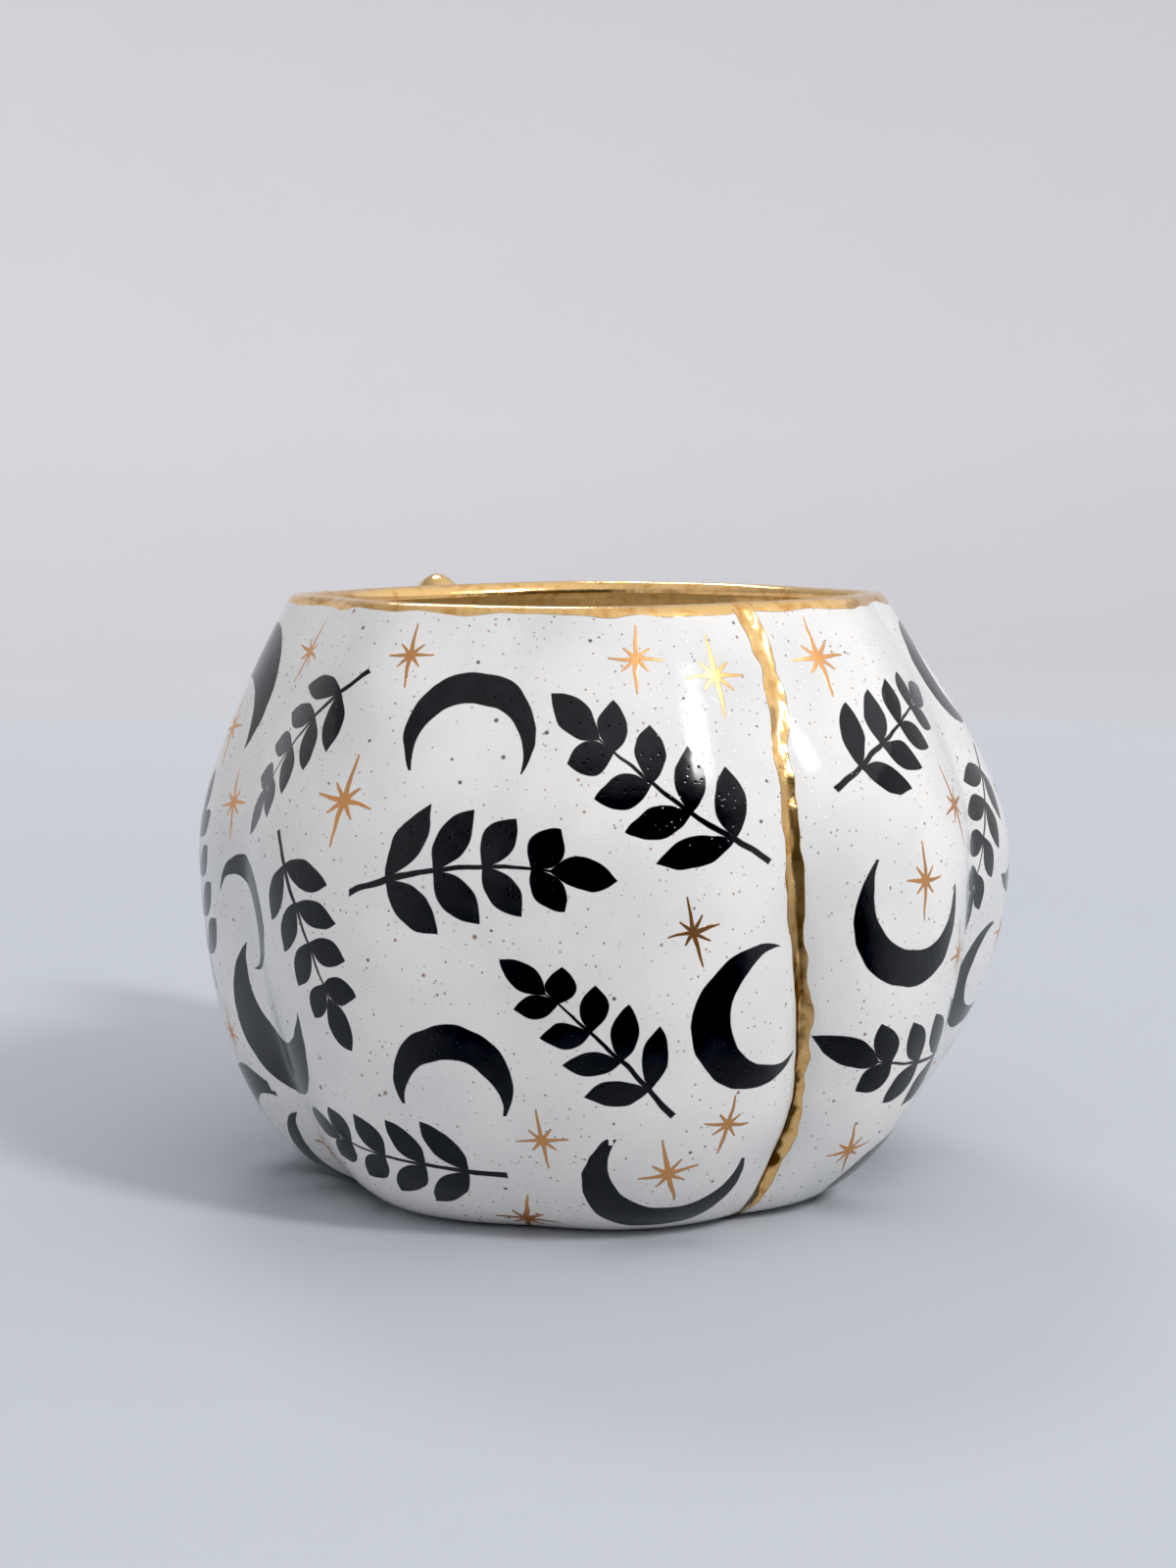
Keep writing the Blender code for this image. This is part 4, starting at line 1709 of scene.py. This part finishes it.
@dataclass(frozen=True)
class WindowLight:
    """A rectangular light that faces the mug."""

    name: str
    azimuth_deg: float
    elevation_deg: float
    distance: float
    width: float
    height: float
    watts: float
    aim: tuple[float, float, float] = (0.0, 0.0, 0.05)

    def build(self) -> None:
        """Hangs the light in its place."""
        light = bpy.data.lights.new(self.name, "AREA")
        light.shape = "RECTANGLE"
        light.size = self.width
        light.size_y = self.height
        light.energy = self.watts
        lamp = place_object(self.name, light)
        aside = direction(self.azimuth_deg, self.elevation_deg)
        lamp.location = Vector(self.aim) + aside * self.distance
        lamp.rotation_euler = aside.to_track_quat("Z", "Y").to_euler()


@dataclass
class Studio:
    """The plain surroundings: floor, dark card, soft sky, a bright window and a fainter one behind."""

    floor: SweptFloor = field(default_factory=SweptFloor)
    card: DarkCard = field(default_factory=DarkCard)
    window: WindowLight = WindowLight(
        name="window", azimuth_deg=21.0, elevation_deg=40.5, distance=2.6,
        width=0.34, height=0.48, watts=28.0,
    )
    back_window: WindowLight = WindowLight(
        name="back_window", azimuth_deg=169.0, elevation_deg=49.0, distance=2.2,
        width=0.62, height=0.34, watts=8.0,
    )
    sky_colour: str = "#F3F5FA"
    sky_dark: float = 0.42
    sky_bright: float = 1.10
    sky_facing: tuple[float, float] = (-0.7, 1.0)
    bright_past_window_deg: float = 25.0
    bright_elevation_deg: float = 30.0

    def build(self) -> list[Object]:
        """Lights the sky and the windows, and builds the floor and the card."""
        self._light_sky()
        self.window.build()
        self.back_window.build()
        return [self.floor.build(), self.card.build()]

    def _light_sky(self) -> None:
        """A sky that is brightest to the right of the window and dimmest opposite."""
        world = bpy.data.worlds.new("soft_room_light")
        world.use_nodes = True
        put = NodeBoard(world.node_tree).put
        way = put("TexCoord", out="Generated")
        bright = direction(self.window.azimuth_deg + self.bright_past_window_deg, self.bright_elevation_deg)
        facing = put("VectorMath", (way, tuple(bright)), out="Value", operation="DOT_PRODUCT")
        strength = put("MapRange", (
            facing, *self.sky_facing, self.sky_dark, self.sky_bright,
        ), interpolation_type="SMOOTHSTEP")
        sky = put("Background", {"Color": linear_colour(self.sky_colour), "Strength": strength})
        put("OutputWorld", (sky,))
        bpy.context.scene.world = world


@dataclass
class StudioCamera:
    """The camera, a little above the rim and to the left of the crease."""

    azimuth_deg: float = -26.3
    pitch_deg: float = 6.0
    distance: float = 0.377
    height: float = 0.100
    lens_mm: float = 55.3
    sensor_mm: float = 36.0
    clip_start: float = 0.01
    black_level: float = 0.013

    def build(self) -> Object:
        """Makes the camera and hands it to the scene."""
        azimuth = math.radians(self.azimuth_deg)
        pitch = math.radians(self.pitch_deg)
        data = bpy.data.cameras.new("studio_camera")
        data.lens = self.lens_mm
        data.sensor_width = self.sensor_mm
        data.clip_start = self.clip_start
        camera = place_object("studio_camera", data)
        camera.location = (self.distance * math.sin(azimuth), -self.distance * math.cos(azimuth), self.height)
        forward = Vector((
            -math.sin(azimuth) * math.cos(pitch), math.cos(azimuth) * math.cos(pitch), -math.sin(pitch),
        ))
        camera.rotation_euler = forward.to_track_quat("-Z", "Y").to_euler()
        bpy.context.scene.camera = camera
        view = bpy.context.scene.view_settings
        view.view_transform = "Standard"
        view.use_curve_mapping = True
        view.curve_mapping.black_level = (self.black_level,) * 3
        view.curve_mapping.update()
        return camera


def main() -> None:
    """Builds the camera, the studio and the mug."""
    logging.basicConfig(level=logging.INFO, format="%(name)s: %(message)s")
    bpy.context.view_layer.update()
    StudioCamera().build()
    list(Studio().build())
    log.info("studio ready")

    form = HandForm(WallOutline())
    mug = Mug(MugBody(form), Handle(form), Decoration()).build()
    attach(mug, "root")
    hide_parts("mug")
    log.info("%s rides on root", mug.name)


if __name__ == "__main__":
    main()
